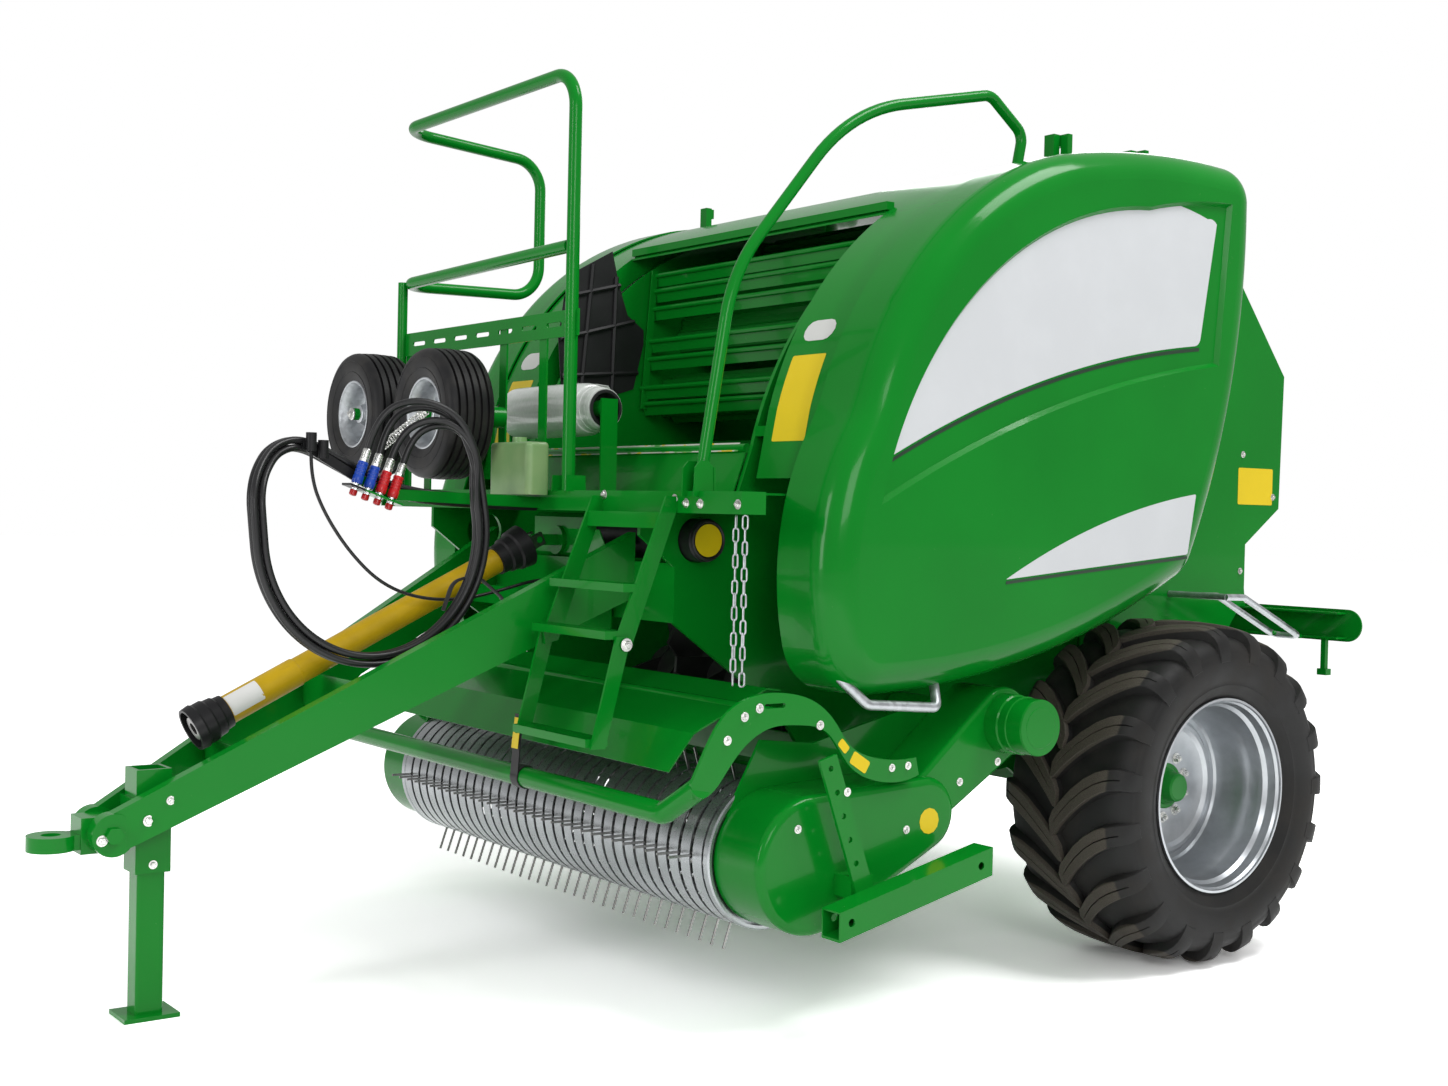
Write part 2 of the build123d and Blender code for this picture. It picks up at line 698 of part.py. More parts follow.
def build_cheek():
    with BuildPart() as cheek:
        add(cheek_form(0))
        add(cheek_form(SHEET), mode=Mode.SUBTRACT)
        with BuildSketch(side(EAR_X[0])):
            with BuildLine():
                Polyline((70, 2335), (140, 2420), (20, TAILGATE_HINGE_Z + 30), (-25, TAILGATE_HINGE_Z - 20),
                         close=True)
            make_face()
            with Locations((0, TAILGATE_HINGE_Z)):
                Circle(36)
                Circle(TAILGATE_PIN_R + BORE_CLEAR, mode=Mode.SUBTRACT)
        extrude(amount=EAR_X[1] - EAR_X[0])
    return cheek.part


def build_tailgate_skin():
    """The folded sheet between the cheeks."""
    outline = tuple((TAILGATE_REACH, z) if z == 1943 else (y, z) for y, z in CHEEK_OUTLINE)
    with BuildPart() as skin:
        with BuildSketch(side(-SIDE_X + CLEAR)):
            with BuildLine():
                Polyline(*outline, close=True)
            make_face()
            offset(amount=-SKIN_T, mode=Mode.SUBTRACT)
            with Locations((0, 1600)):
                Rectangle(2 * (PARTING + SKIN_T), 3000, mode=Mode.SUBTRACT)
        extrude(amount=2 * (SIDE_X - CLEAR))
    return skin.part


def build_tie_loop(sign):
    """The bent rod loop over the tyre, from the tailgate's cheek down to the light carrier."""
    inner, outer = 890 * sign, 1000 * sign
    with BuildPart() as loop:
        add(bent_tube([at(inner, 310, 1152), at(inner, 410, 1150), at(inner, 728, 1010), at(outer, 728, 1010),
                       at(outer, 410, 1150), at(outer, 310, 1152)], 34, TIE_R))
        add(cross_bar(min(sign * (TAILGATE_OUT + CLEAR), outer), max(sign * (TAILGATE_OUT + CLEAR), outer),
                      312, 1152, TIE_R))
        add(box(min(inner, outer), max(inner, outer), 728, 742, LIGHT_BEAM_Z - 52, LIGHT_BEAM_Z - 38))
    return loop.part


def build_light_beam():
    """The tail light carrier across the tailgate, its two posts and the hanging pins."""
    with BuildPart() as beam:
        with BuildSketch(front(800)):
            with Locations((0, LIGHT_BEAM_Z)):
                SlotOverall(2 * LIGHT_BEAM_HALF, 112)
        extrude(amount=6)
        for z in (LIGHT_BEAM_Z - 46, LIGHT_BEAM_Z + 40):
            add(box(-LIGHT_BEAM_HALF + 60, LIGHT_BEAM_HALF - 60, 740, 794, z, z + 6))
        for sign in (-1, 1):
            x = sign * 700
            add(side_shape(((727 + CLEAR, 1130), (727 + CLEAR, 1320), (745, 1320), (780, 1101), (740, 1101)),
                           x - 30, x + 30))
            x = sign * 1075
            add(box(x - 9, x + 9, 758, 776, 900, LIGHT_BEAM_Z - 46))
            add(box(x - 18, x + 18, 752, 782, 880, 902))
            add(build_tie_loop(sign))
    return beam.part


# ---- wheels ----

def wheel_revolve(outline_function, centre_x):
    """A turned piece on the axle line; the outline is drawn as (x, radius)."""
    plane = Plane(origin=at(0, 0, AXLE_Z), x_dir=(1, 0, 0), z_dir=(0, -1, 0))
    with BuildPart() as turned:
        with BuildSketch(plane):
            with BuildLine():
                outline_function(centre_x)
            make_face()
        revolve(axis=Axis(plane.origin, (1, 0, 0)))
    return turned.part


def tyre_outline(x):
    half, seat = TYRE_W / 2 - 2, RIM_HALF_SEAT
    bead = seat - CLEAR
    ThreePointArc((x - 195, TYRE_R - 22), (x, TYRE_R), (x + 195, TYRE_R - 22))
    ThreePointArc((x + 195, TYRE_R - 22), (x + half, 430), (x + bead + 6, RIM_R + 11))
    Line((x + bead + 6, RIM_R + 11), (x + bead, RIM_R + CLEAR))
    Line((x + bead, RIM_R + CLEAR), (x + seat - 26, RIM_R + CLEAR))
    ThreePointArc((x + seat - 26, RIM_R + CLEAR), (x + half - 28, 420), (x + 165, TYRE_R - 55))
    Line((x + 165, TYRE_R - 55), (x - 165, TYRE_R - 55))
    ThreePointArc((x - 165, TYRE_R - 55), (x - half + 28, 420), (x - seat + 26, RIM_R + CLEAR))
    Line((x - seat + 26, RIM_R + CLEAR), (x - bead, RIM_R + CLEAR))
    Line((x - bead, RIM_R + CLEAR), (x - bead - 6, RIM_R + 11))
    ThreePointArc((x - bead - 6, RIM_R + 11), (x - half, 430), (x - 195, TYRE_R - 22))


def rim_outline(x):
    half = RIM_W / 2
    disc = x + RIM_DISC_X
    Polyline((x - half, 308), (x - half, 300), (x - 190, RIM_R - 8), (x - 120, RIM_R - 8), (x - 95, 262),
             (disc - 12, 262), (disc - 30, 150), (disc - 30, HUB_R - 15), (disc - 18, HUB_R - 15), (disc - 18, 155),
             (disc, 262), (x + 95, 262), (x + 120, RIM_R - 8), (x + 190, RIM_R - 8), (x + half, 300),
             (x + half, 308), (x + half - 8, 308), (x + 205, RIM_R), (x + 125, RIM_R), (x + 100, 270),
             (x - 100, 270), (x - 125, RIM_R), (x - 205, RIM_R), (x - half + 8, 308), close=True)


def hub_outline(x):
    face = x + RIM_DISC_X - 18
    bore = SPINDLE_R + BORE_CLEAR
    Polyline((HUB_IN, bore), (HUB_IN, 60), (face - 42, 70), (face, 72), (face, 120), (face + 14, 120),
             (face + 14, HUB_R - 18), (face + 30, HUB_R - 25), (face + 70, 52), (face + 82, 40), (face + 82, 0),
             (face + 20, 0), (face + 20, bore), close=True)


def build_wheel():
    """The dished rim with its hand holes, bolted to the hub."""
    with BuildPart() as wheel:
        add(wheel_revolve(rim_outline, TYRE_X))
        with BuildSketch(side(TYRE_X - 60)):
            with Locations((0, AXLE_Z)):
                with PolarLocations(205, 8):
                    Circle(22)
        extrude(amount=120, mode=Mode.SUBTRACT)
        add(wheel_revolve(hub_outline, TYRE_X))
        with BuildSketch(side(TYRE_X + RIM_DISC_X - 5)):
            with Locations((0, AXLE_Z)):
                with PolarLocations(98, 8):
                    RegularPolygon(14, 6)
        extrude(amount=16)
    return wheel.part


# ---- feed rotor and pick-up ----

def build_feed_rotor():
    with BuildPart() as rotor:
        add(cross_bar(-SIDE_X + 6, SIDE_X - 6, ROTOR_Y, ROTOR_Z, 105))
        add(cross_bar(-ROTOR_SHAFT_END, ROTOR_SHAFT_END, ROTOR_Y, ROTOR_Z, ROTOR_SHAFT_R))
        for row in range(12):
            x = -561 + 102 * row
            points = []
            for tip in range(4):
                base = 90 * tip + 24 * row
                for turn, radius in ((-38, 110), (-4, ROTOR_R), (8, ROTOR_R - 12), (26, 112)):
                    angle = radians(base + turn)
                    points.append((ROTOR_Y + radius * cos(angle), ROTOR_Z + radius * sin(angle)))
            add(side_shape(points, x - 7, x + 7))
    return rotor.part


def build_feed_floor():
    with BuildPart() as floor:
        with BuildSketch(side(-SIDE_X)):
            with Locations((ROTOR_Y, ROTOR_Z)):
                Circle(ROTOR_R + 18)
                Circle(ROTOR_R + 12, mode=Mode.SUBTRACT)
            with BuildLine():
                Polyline((ROTOR_Y - 240, ROTOR_Z + 400), (ROTOR_Y - 300, ROTOR_Z - 130), (ROTOR_Y - 100, ROTOR_Z),
                         (ROTOR_Y + 300, ROTOR_Z), (ROTOR_Y + 300, ROTOR_Z + 400), close=True)
            make_face(mode=Mode.SUBTRACT)
        extrude(amount=2 * SIDE_X)
    return floor.part


def build_pickup_frame():
    with BuildPart() as frame:
        add(box(-PICKUP_HALF, PICKUP_HALF, *REEL_TUBE))
        add(box(-PICKUP_HALF, PICKUP_HALF, REEL_TUBE[0] + 6, REEL_TUBE[1] - 6, REEL_TUBE[2] + 6, REEL_TUBE[3] - 6),
            mode=Mode.SUBTRACT)
        for x in (-PICKUP_HALF - 10, PICKUP_HALF):
            with BuildSketch(side(x)):
                with BuildLine():
                    Polyline((REEL_Y - 150, REEL_Z - 90), (REEL_Y + 60, REEL_Z - 160), (REEL_Y + 430, REEL_Z - 20),
                             (ROTOR_Y + 50, ROTOR_Z - 60), (ROTOR_Y + 20, ROTOR_Z + 80), (ROTOR_Y - 120, ROTOR_Z + 60),
                             (REEL_Y + 150, REEL_Z + 300), (REEL_Y - 40, REEL_Z + 320), (REEL_Y - 150, REEL_Z + 120),
                             close=True)
                make_face()
                with Locations((REEL_Y, REEL_Z)):
                    Circle(BAND_R - 24)
                    Circle(REEL_SHAFT_R + BORE_CLEAR, mode=Mode.SUBTRACT)
                with Locations((ROTOR_Y, ROTOR_Z)):
                    Circle(80)
                    Circle(PIVOT_R + BORE_CLEAR, mode=Mode.SUBTRACT)
            extrude(amount=10)
    return frame.part


def band_face(radius):
    """A band's side outline: round in front, running back to the frame tube."""
    with BuildSketch(Plane.XY, mode=Mode.PRIVATE) as face:
        with Locations((REEL_Y, REEL_Z)):
            Circle(radius)
        with Locations((REEL_TUBE[0] - 10, 590)):
            Rectangle(20, 60 + 2 * (radius - BAND_R))
        make_hull(face.edges())
    return face.sketch


def build_bands():
    """The stripper bands between which the tines run."""
    first = -(BAND_COUNT - 1) / 2 * BAND_PITCH
    with BuildPart() as band:
        with BuildSketch(side(first - BAND_W / 2)):
            add(band_face(BAND_R))
            add(band_face(BAND_R - BAND_T), mode=Mode.SUBTRACT)
        extrude(amount=BAND_W)
    with BuildPart() as bands:
        with Locations(*[(index * BAND_PITCH, 0, 0) for index in range(BAND_COUNT)]):
            add(band.part)
    return bands.part


def build_reel():
    """The tine reel: shaft, spiders, tine bars and a pair of tines in each gap."""
    with BuildPart() as row:
        add(cross_bar(-REEL_HALF, REEL_HALF, REEL_Y, REEL_Z + REEL_BAR_R, TINE_BAR_R))
        with BuildSketch(level(REEL_Z + REEL_BAR_R)):
            with Locations((0, REEL_Y)):
                with GridLocations(BAND_PITCH, 1, BAND_COUNT - 1, 1):
                    Rectangle(TINE_T, 7)
        extrude(amount=TINE_R - REEL_BAR_R)
    centre = at(0, REEL_Y, REEL_Z)
    with BuildPart() as reel:
        add(cross_bar(-PICKUP_HALF - 9, PICKUP_HALF + 9, REEL_Y, REEL_Z, REEL_SHAFT_R))
        for x in (-REEL_HALF, -300, 290, REEL_HALF - 10):
            add(cross_bar(x, x + 10, REEL_Y, REEL_Z, REEL_BAR_R + 22))
        with BuildPart(mode=Mode.PRIVATE) as rows:
            for bar in range(TINE_BARS):
                add(row.part.rotate(Axis(centre, (1, 0, 0)), 360 / TINE_BARS * bar + 17))
        add(rows.part)
    return reel.part


def hull_form(circles, inset, x1, edge):
    """A rounded form over circles given as (y, z, radius), or its hollow when inset by the wall."""
    with BuildPart() as form:
        with BuildSketch(side(END_X)):
            with BuildSketch(Plane.XY, mode=Mode.PRIVATE) as outline:
                for y, z, radius in circles:
                    with Locations((y, z)):
                        Circle(radius - inset)
                make_hull(outline.edges())
            add(outline.sketch)
        extrude(amount=x1 - inset - END_X)
        fillet(form.faces().sort_by(Axis.X)[-1].edges(), edge - inset)
    return form.part


def end_cover_form(inset):
    """The rounded cover over the reel's end."""
    return hull_form(((REEL_Y, REEL_Z, END_R), (*END_REAR, END_REAR_R)), inset, END_OUT, 22)


def drive_case_form(inset):
    """The chain case from the rotor down to the reel's end cover."""
    return hull_form(((ROTOR_Y, ROTOR_Z, CASE_R), (-1110, 605, 80)), inset, CASE_OUT, 14)


def build_gauge_arm():
    """The hollow arm for a gauge wheel, its hanging strap and the bracket behind it."""
    low_front, low_rear = (-1600, 286), (-1046, 405)
    with BuildPart() as arm:
        add(side_shape((low_front, low_rear, (low_rear[0], low_rear[1] + 79), (low_front[0], low_front[1] + 79)),
                       ARM_X[0], ARM_X[1]))
        slope = (low_rear[1] - low_front[1]) / (low_rear[0] - low_front[0])
        add(side_shape(((low_front[0] - 10, low_front[1] + 5), (low_rear[0] - 10, low_rear[1] + 3),
                        (low_rear[0] - 10, low_rear[1] + 74), (low_front[0] - 10, low_front[1] + 72)),
                       ARM_X[0] + 5, ARM_X[1] - 5), mode=Mode.SUBTRACT)
        for y in (-1560, -1090):
            z = low_front[1] + slope * (y - low_front[0]) + 40
            add(cross_bar(ARM_X[0] - 1, ARM_X[1] + 1, y, z, 11), mode=Mode.SUBTRACT)
        strap = ((-1619, 752), (-1561, 767), (-1405, 357), (-1463, 342))
        add(side_shape(strap, ARM_X[0] - 10, ARM_X[0]))
        for step in range(5):
            add(cross_bar(ARM_X[0] - 11, ARM_X[0] + 1, -1580 + 24 * step, 730 - 65 * step, 8), mode=Mode.SUBTRACT)
        add(box(END_OUT - 6, ARM_X[0] - 10, -1492, -1412, 372, 432))
    return arm.part


def build_pickup_end(driven):
    """The pick-up's end: covers and gauge wheel arm, and on the driven side the chain case."""
    with BuildPart() as end:
        add(end_cover_form(0))
        if driven:
            add(drive_case_form(0))
        add(end_cover_form(SHEET), mode=Mode.SUBTRACT)
        if driven:
            add(drive_case_form(SHEET), mode=Mode.SUBTRACT)
            add(cross_bar(CASE_OUT - 1, CASE_OUT + 40, ROTOR_Y, ROTOR_Z, 88))
            add(cross_bar(CASE_OUT + 40, CASE_OUT + 140, ROTOR_Y, ROTOR_Z, 80))
        add(build_gauge_arm())
    return end.part


def build_crop_guard():
    """The guard tube in front of the reel, its curved side arms and the hood sheet."""
    outer = [(-1990, 712), (-1942, 804), (-1877, 889), (-1791, 926), (-1685, 928), (-1602, 907), (-1516, 842),
             (-1467, 781), (-1379, 739), (-1220, 729)]
    inner = [(-1208, 680), (-1357, 672), (-1465, 723), (-1553, 822), (-1646, 842), (-1736, 840), (-1822, 796),
             (-1881, 731), (-1930, 680), (-1985, 672)]
    with BuildPart() as arms:
        with BuildSketch(side(GUARD_ARM_X)):
            with BuildLine():
                Spline(*outer)
                Line(outer[-1], inner[0])
                Spline(*inner)
                Line(inner[-1], outer[0])
            make_face()
            with Locations((-1725, 897)):
                SlotOverall(70, 12, mode=Mode.SUBTRACT)
        extrude(amount=10)
        add(cross_bar(END_X, GUARD_ARM_X, -1262, 705, 14))
    with BuildPart() as guard:
        add(arms.part)
        add(other_side(arms.part))
        edge = GUARD_ARM_X + 5
        tube = [at(-edge, -1960, 700), at(-1000, -1975, 615), at(1000, -1975, 615), at(edge, -1960, 700)]
        add(bent_tube(tube, 60, 30))
        add(cross_bar(-edge, edge, -1640, 862, 16))
        add(side_shape(((-1880, 700), (-1800, 800), (-1550, 912), (-1500, 905), (-1500, 901), (-1550, 907),
                        (-1797, 796), (-1877, 698)), -HOOD_HALF, HOOD_HALF))
        add(box(-HOOD_HALF, HOOD_HALF, -1650, -1630, 862, 868))
    return guard.part


# ---- platform, ladder, racks and what they carry ----

def build_ladder_upper():
    with BuildPart() as ladder:
        for x in (LADDER_X[0] + 10, LADDER_X[1] - 18):
            add(side_shape(((PLATFORM_Y - 36, 1440), (PLATFORM_Y, 1440), (PLATFORM_Y, 1405), (-1962, 1025),
                            (KNEE_Y - 20, KNEE_Z - 25), (KNEE_Y - 25, KNEE_Z + 10)), x, x + 8))
            add(cross_bar(x - 9, x + 9, KNEE_Y, KNEE_Z, 8) if x < 600 else cross_bar(x, x + 17, KNEE_Y, KNEE_Z, 8))
        for y, z in ((-1950, 1180), (KNEE_Y - 20, KNEE_Z + 14)):
            add(box(LADDER_X[0] + 10, LADDER_X[1] - 10, y - 40, y + 30, z, z + 22))
    return ladder.part


def build_ladder_lower():
    """The lower steps, which fold up in front of the upper ones."""
    with BuildPart() as ladder:
        for x in (LADDER_X[0] + 1, LADDER_X[1] - 9):
            add(side_shape(((KNEE_Y - 28, KNEE_Z + 22), (KNEE_Y + 18, KNEE_Z + 22), (-2042, 765), (-2088, 765)),
                           x, x + 8))
            add(cross_bar(x - 1, x + 9, KNEE_Y, KNEE_Z, 8 + BORE_CLEAR), mode=Mode.SUBTRACT)
        add(box(LADDER_X[0] + 9, LADDER_X[1] - 9, -2100, -2030, 770, 792))
    return ladder.part


def build_platform():
    """The front beam, the deck behind it, the ladder's fixed part, the roll's stand and the pick-up's chains."""
    y0, y1 = PLATFORM_Y, PLATFORM_Y + PLATFORM_DEPTH
    with BuildPart() as platform:
        add(box(-PLATFORM_RIGHT, PLATFORM_LEFT, y0, y1, PLATFORM_LOW, PLATFORM_HIGH))
        add(box(-PLATFORM_RIGHT + 5, PLATFORM_LEFT - 5, y0 + 5, y1 - 5, PLATFORM_LOW + 5, PLATFORM_HIGH - 5),
            mode=Mode.SUBTRACT)
        add(box(-DECK_HALF, DECK_HALF, y1, -1484, PLATFORM_HIGH - 6, PLATFORM_HIGH))
        add(side_shape(((-1488, PLATFORM_HIGH), (-1442, 1585), (-1438, 1585), (-1484, PLATFORM_HIGH)),
                       -SIDE_X + CLEAR, SIDE_X - CLEAR))
        add(cross_bar(-SIDE_X + CLEAR, SIDE_X - CLEAR, -1438, 1590, 14))
        add(box(-SIDE_X + CLEAR, SIDE_X - CLEAR, -1492, -1484, PLATFORM_LOW, PLATFORM_HIGH))
        add(build_ladder_upper())
        for x in (ROLL_X[0] - 20, ROLL_X[1] + 12):
            add(box(x, x + 8, ROLL_Y - 30, ROLL_Y + 30, PLATFORM_HIGH - 6, ROLL_Z + 30))
        add(cross_bar(ROLL_X[0] - 20, ROLL_X[1] + 20, ROLL_Y, ROLL_Z, ROLL_BORE_R - CLEAR))
        add(build_rail_right())
    return platform.part


def build_chains():
    """The two lengths of chain that hang from the platform's end over the pick-up."""
    with BuildPart() as chains:
        for x in CHAIN_X:
            add(cross_bar_up(x, CHAIN_Y, CHAIN_LOW, PLATFORM_LOW - CLEAR, CHAIN_R))
    return chains.part


def cross_bar_up(x, y, z0, z1, radius):
    """An upright round bar."""
    with BuildPart() as bar:
        with BuildSketch(level(z0)):
            with Locations((x, y)):
                Circle(radius)
        extrude(amount=z1 - z0)
    return bar.part


def build_left_rack():
    """The looped handrail, the slotted cross plate and the straps with stubs for the stored wheels."""
    rail = [at(RACK_X[1] - 30, RACK_Y, PLATFORM_HIGH), at(RACK_X[1] - 30, RACK_Y, 2715),
            at(RACK_X[0], RACK_Y, 2715), at(RACK_X[0], -1240, 2675), at(RACK_X[0], -1240, 2185),
            at(RACK_X[0], RACK_Y, 2172), at(RACK_X[1] - 50, RACK_Y, 2190)]
    with BuildPart() as rack:
        add(bent_tube(rail, 110, 20))
        add(cross_bar_up(RACK_X[0] + 20, RACK_Y, PLATFORM_HIGH, 2180, 17))
        with BuildSketch(front(RACK_PLATE_Y)):
            with Locations(((RACK_X[0] + RACK_X[1]) / 2, 1960)):
                Rectangle(RACK_X[1] - RACK_X[0], 80)
                with GridLocations(150, 1, 7, 1):
                    SlotOverall(90, 14, mode=Mode.SUBTRACT)
        extrude(amount=-5)
        for x in (-880, -730, -218, 30):
            add(box(x - 22, x + 22, RACK_PLATE_Y + 5, RACK_PLATE_Y + 11, PLATFORM_HIGH, 2000))
        for x, z in GAUGE_PLACES:
            with BuildSketch(front(RACK_PLATE_Y + 5)):
                with Locations((x, z)):
                    Circle(STUB_R)
            extrude(amount=RACK_PLATE_Y + 5 - (GAUGE_Y - 70))
            with BuildSketch(front(RACK_PLATE_Y + 5)):
                with Locations((x, z)):
                    Circle(STUB_R + 14)
            extrude(amount=RACK_PLATE_Y + 5 - (GAUGE_Y + 60 + CLEAR))
    return rack.part


def build_rail_right():
    """The curved handrail beside the door, from the platform over the band."""
    points = [at(RAIL_X, -1803, PLATFORM_HIGH - 20), at(RAIL_X, -1700, 2060), at(RAIL_X, -1290, 2560),
              at(RAIL_X, -735, 2690), at(RAIL_X, -592, 2590), at(RAIL_X, -615, 2480)]
    with BuildPart() as rail:
        with BuildLine() as path:
            FilletPolyline(*points, radius=[500, 600, 60, 50])
        with BuildSketch(Plane(origin=path.wire() @ 0, z_dir=path.wire() % 0)):
            Circle(17)
        sweep(path=path.wire())
        with BuildSketch(side(RAIL_X - 60)):
            add(cover_region(-CLEAR))
        extrude(amount=120, mode=Mode.SUBTRACT)
        add(box(RAIL_X - 30, RAIL_X + 30, -1850, -1700, 1400, PLATFORM_HIGH), mode=Mode.SUBTRACT)
    return rail.part


def gauge_wheel(x, z):
    """A small pneumatic wheel, tyre and rim, turning about the fore-and-aft axis."""
    half = GAUGE_W / 2
    plane = Plane(origin=at(x, GAUGE_Y, z), x_dir=(0, 1, 0), z_dir=(1, 0, 0))
    with BuildPart() as wheel:
        with BuildSketch(plane):
            with BuildLine():
                ThreePointArc((-half + 22, GAUGE_R - 9), (0, GAUGE_R), (half - 22, GAUGE_R - 9))
                ThreePointArc((half - 22, GAUGE_R - 9), (half, GAUGE_R - 50), (half - 16, 106))
                Polyline((half - 16, 106), (half - 12, 112), (half - 22, 100), (half - 48, 90), (-8, 88),
                         (-12, 60), (60, 38), (60, STUB_R + BORE_CLEAR), (-60, STUB_R + BORE_CLEAR), (-60, 38),
                         (-20, 60), (-22, 88), (-half + 48, 90), (-half + 22, 100), (-half + 12, 112),
                         (-half + 16, 106))
                ThreePointArc((-half + 16, 106), (-half, GAUGE_R - 50), (-half + 22, GAUGE_R - 9))
            make_face()
        revolve(axis=Axis(plane.origin, (0, 1, 0)))
    return wheel.part


def build_wrap_roll():
    with BuildPart() as roll:
        add(cross_bar(ROLL_X[0], ROLL_X[1], ROLL_Y, ROLL_Z, ROLL_R))
        add(cross_bar(ROLL_X[0] - 6, ROLL_X[1] + 6, ROLL_Y, ROLL_Z, ROLL_BORE_R + 8))
        add(cross_bar(ROLL_X[0] - 7, ROLL_X[1] + 7, ROLL_Y, ROLL_Z, ROLL_BORE_R), mode=Mode.SUBTRACT)
    return roll.part


def build_oil_tank():
    with BuildPart() as tank:
        add(box(*TANK))
        fillet(tank.edges().filter_by(Axis.Z), 20)
        fillet(tank.faces().sort_by(Axis.Z)[-1].edges(), 12)
        add(cross_bar_up((TANK[0] + TANK[1]) / 2, (TANK[2] + TANK[3]) / 2, TANK[5] - 1, TANK[5] + 16, 22))
    return tank.part


def coupler_plane(y, along=0):
    """The plane square to a coupler, so far up it from the holder's plate."""
    lean = radians(COUPLER_LEAN)
    place = at(COUPLER_X, y + along * sin(lean), COUPLER_Z - (y - COUPLER_PLACES[0]) * tan(lean) + along * cos(lean))
    return Plane(origin=place, x_dir=(1, 0, 0), z_dir=(0, sin(lean), cos(lean)))


def coupler_bar(y, start, end, radius):
    with BuildPart() as bar:
        with BuildSketch(coupler_plane(y, start)):
            Circle(radius)
        extrude(amount=end - start)
    return bar.part


def build_hose_holder():
    """The arm in front of the platform with the coupler plate and the two boots at its end."""
    x0, x1 = HOLDER_X
    arm = ((PLATFORM_Y - CLEAR, 1400), (PLATFORM_Y - CLEAR, 1434), (-2340, 1446), (-2586, 1580), (-2590, 1551),
           (-2340, 1414))
    slope = tan(radians(COUPLER_LEAN))
    front, rear = COUPLER_PLACES[0] - 26, COUPLER_PLACES[-1] + 26
    high, low = COUPLER_Z + 26 * slope, COUPLER_Z - (rear - COUPLER_PLACES[0]) * slope
    with BuildPart() as holder:
        add(side_shape(arm, x0, x0 + 8))
        add(side_shape(((front, high - 6), (front, high), (rear, low), (rear, low - 6)), x0, x1))
        add(box(x0, x0 + 8, rear - 40, rear, low - 6, 1430))
        for y, z in ((CABLE_START[1], CABLE_START[2]), (CABLE_START[1] + 36, CABLE_START[2] - 20)):
            add(cross_bar_up(CABLE_START[0], y, z, z + 52, 15))
        for y in COUPLER_PLACES:
            add(coupler_bar(y, -12, 12, COUPLER_R + CLEAR), mode=Mode.SUBTRACT)
    return holder.part


def build_couplers():
    """Four hose couplers with coloured sleeves, parked in the holder."""
    with BuildPart() as couplers:
        for y in COUPLER_PLACES:
            add(coupler_bar(y, -28, COUPLER_TOP, COUPLER_R))
            add(coupler_bar(y, 6 + CLEAR, 74, COUPLER_R + 5))
    return couplers.part


# ---- hoses and cable ----

def cord(points, radius, name):
    """A hose or cable along straight runs and arcs as large as the runs allow."""
    points = [at(*point) for point in points]
    radii = []
    for before, corner, after in zip(points, points[1:], points[2:]):
        run_in, run_out = corner - before, after - corner
        turn = run_in.get_angle(run_out)
        radii.append(0.45 * min(run_in.length, run_out.length) / tan(radians(turn / 2)))
    print(name, "radii", [round(value) for value in radii])
    with BuildPart() as tube:
        with BuildLine() as path:
            FilletPolyline(*points, radius=radii)
        with BuildSketch(Plane(origin=path.wire() @ 0, z_dir=path.wire() % 0)):
            Circle(radius)
        sweep(path=path.wire())
    return tube.part


def coil_place(turn, out=0):
    """Y and z on the coil, so many degrees round it and so far outside its middle line."""
    reach = COIL_R + out
    return COIL_Y + reach * cos(radians(turn)), COIL_Z + reach * sin(radians(turn))


def build_hose_coil():
    """The bundle of hoses, from the holder's end down, round and up the rear side."""
    with BuildPart() as coil:
        start = Plane(origin=at(COIL_X, *coil_place(COIL_START)), x_dir=(1, 0, 0),
                      z_dir=(0, -sin(radians(COIL_START)), cos(radians(COIL_START))))
        with BuildSketch(start):
            Circle(COIL_BUNDLE_R)
        revolve(axis=Axis(at(COIL_X, COIL_Y, COIL_Z), (1, 0, 0)), revolution_arc=COIL_END - COIL_START)
    return coil.part


def build_hose_lead():
    """The four hoses together, from the platform along the holder's arm and into the coil."""
    return cord(((LEAD_X, PLATFORM_Y - CLEAR, 1413), (LEAD_X, -2060, 1415), (LEAD_X, -2300, 1436),
                 (LEAD_X, -2460, 1512), (LEAD_X, -2600, 1585), (62, -2678, 1565), (125, -2737, 1490),
                 (163, -2757, 1420), (COIL_X, *coil_place(COIL_START))), LEAD_R, "hose_lead")


def tail_routes():
    """Each hose from its coupler's top over and into its lane of the coil."""
    outer = coil_place(COIL_END, HOSE_LANE)
    inner = coil_place(COIL_END, -HOSE_LANE)
    near, far = COIL_X + HOSE_LANE, COIL_X - HOSE_LANE
    middles = (
        ((113, -2368, 1660), (140, -2240, 1703), (165, -2125, 1655), (near, -2071, 1545), (near, *outer)),
        ((101, -2331, 1647), (112, -2212, 1686), (136, -2115, 1642), (far, -2071, 1545), (far, *outer)),
        ((107, -2295, 1630), (136, -2190, 1661), (168, -2107, 1590), (near, *inner)),
        ((101, -2260, 1612), (112, -2165, 1640), (138, -2092, 1572), (far, *inner)),
    )
    routes = []
    for y, middle in zip(COUPLER_PLACES, middles):
        top = coupler_plane(y, COUPLER_TOP).origin
        routes.append(((top.X, top.Y - AXLE_Y, top.Z), *middle))
    return routes


def build_hose_tails():
    with BuildPart() as tails:
        for index, route in enumerate(tail_routes()):
            add(cord(route, HOSE_R, f"hose_tails {index}"))
    return tails.part


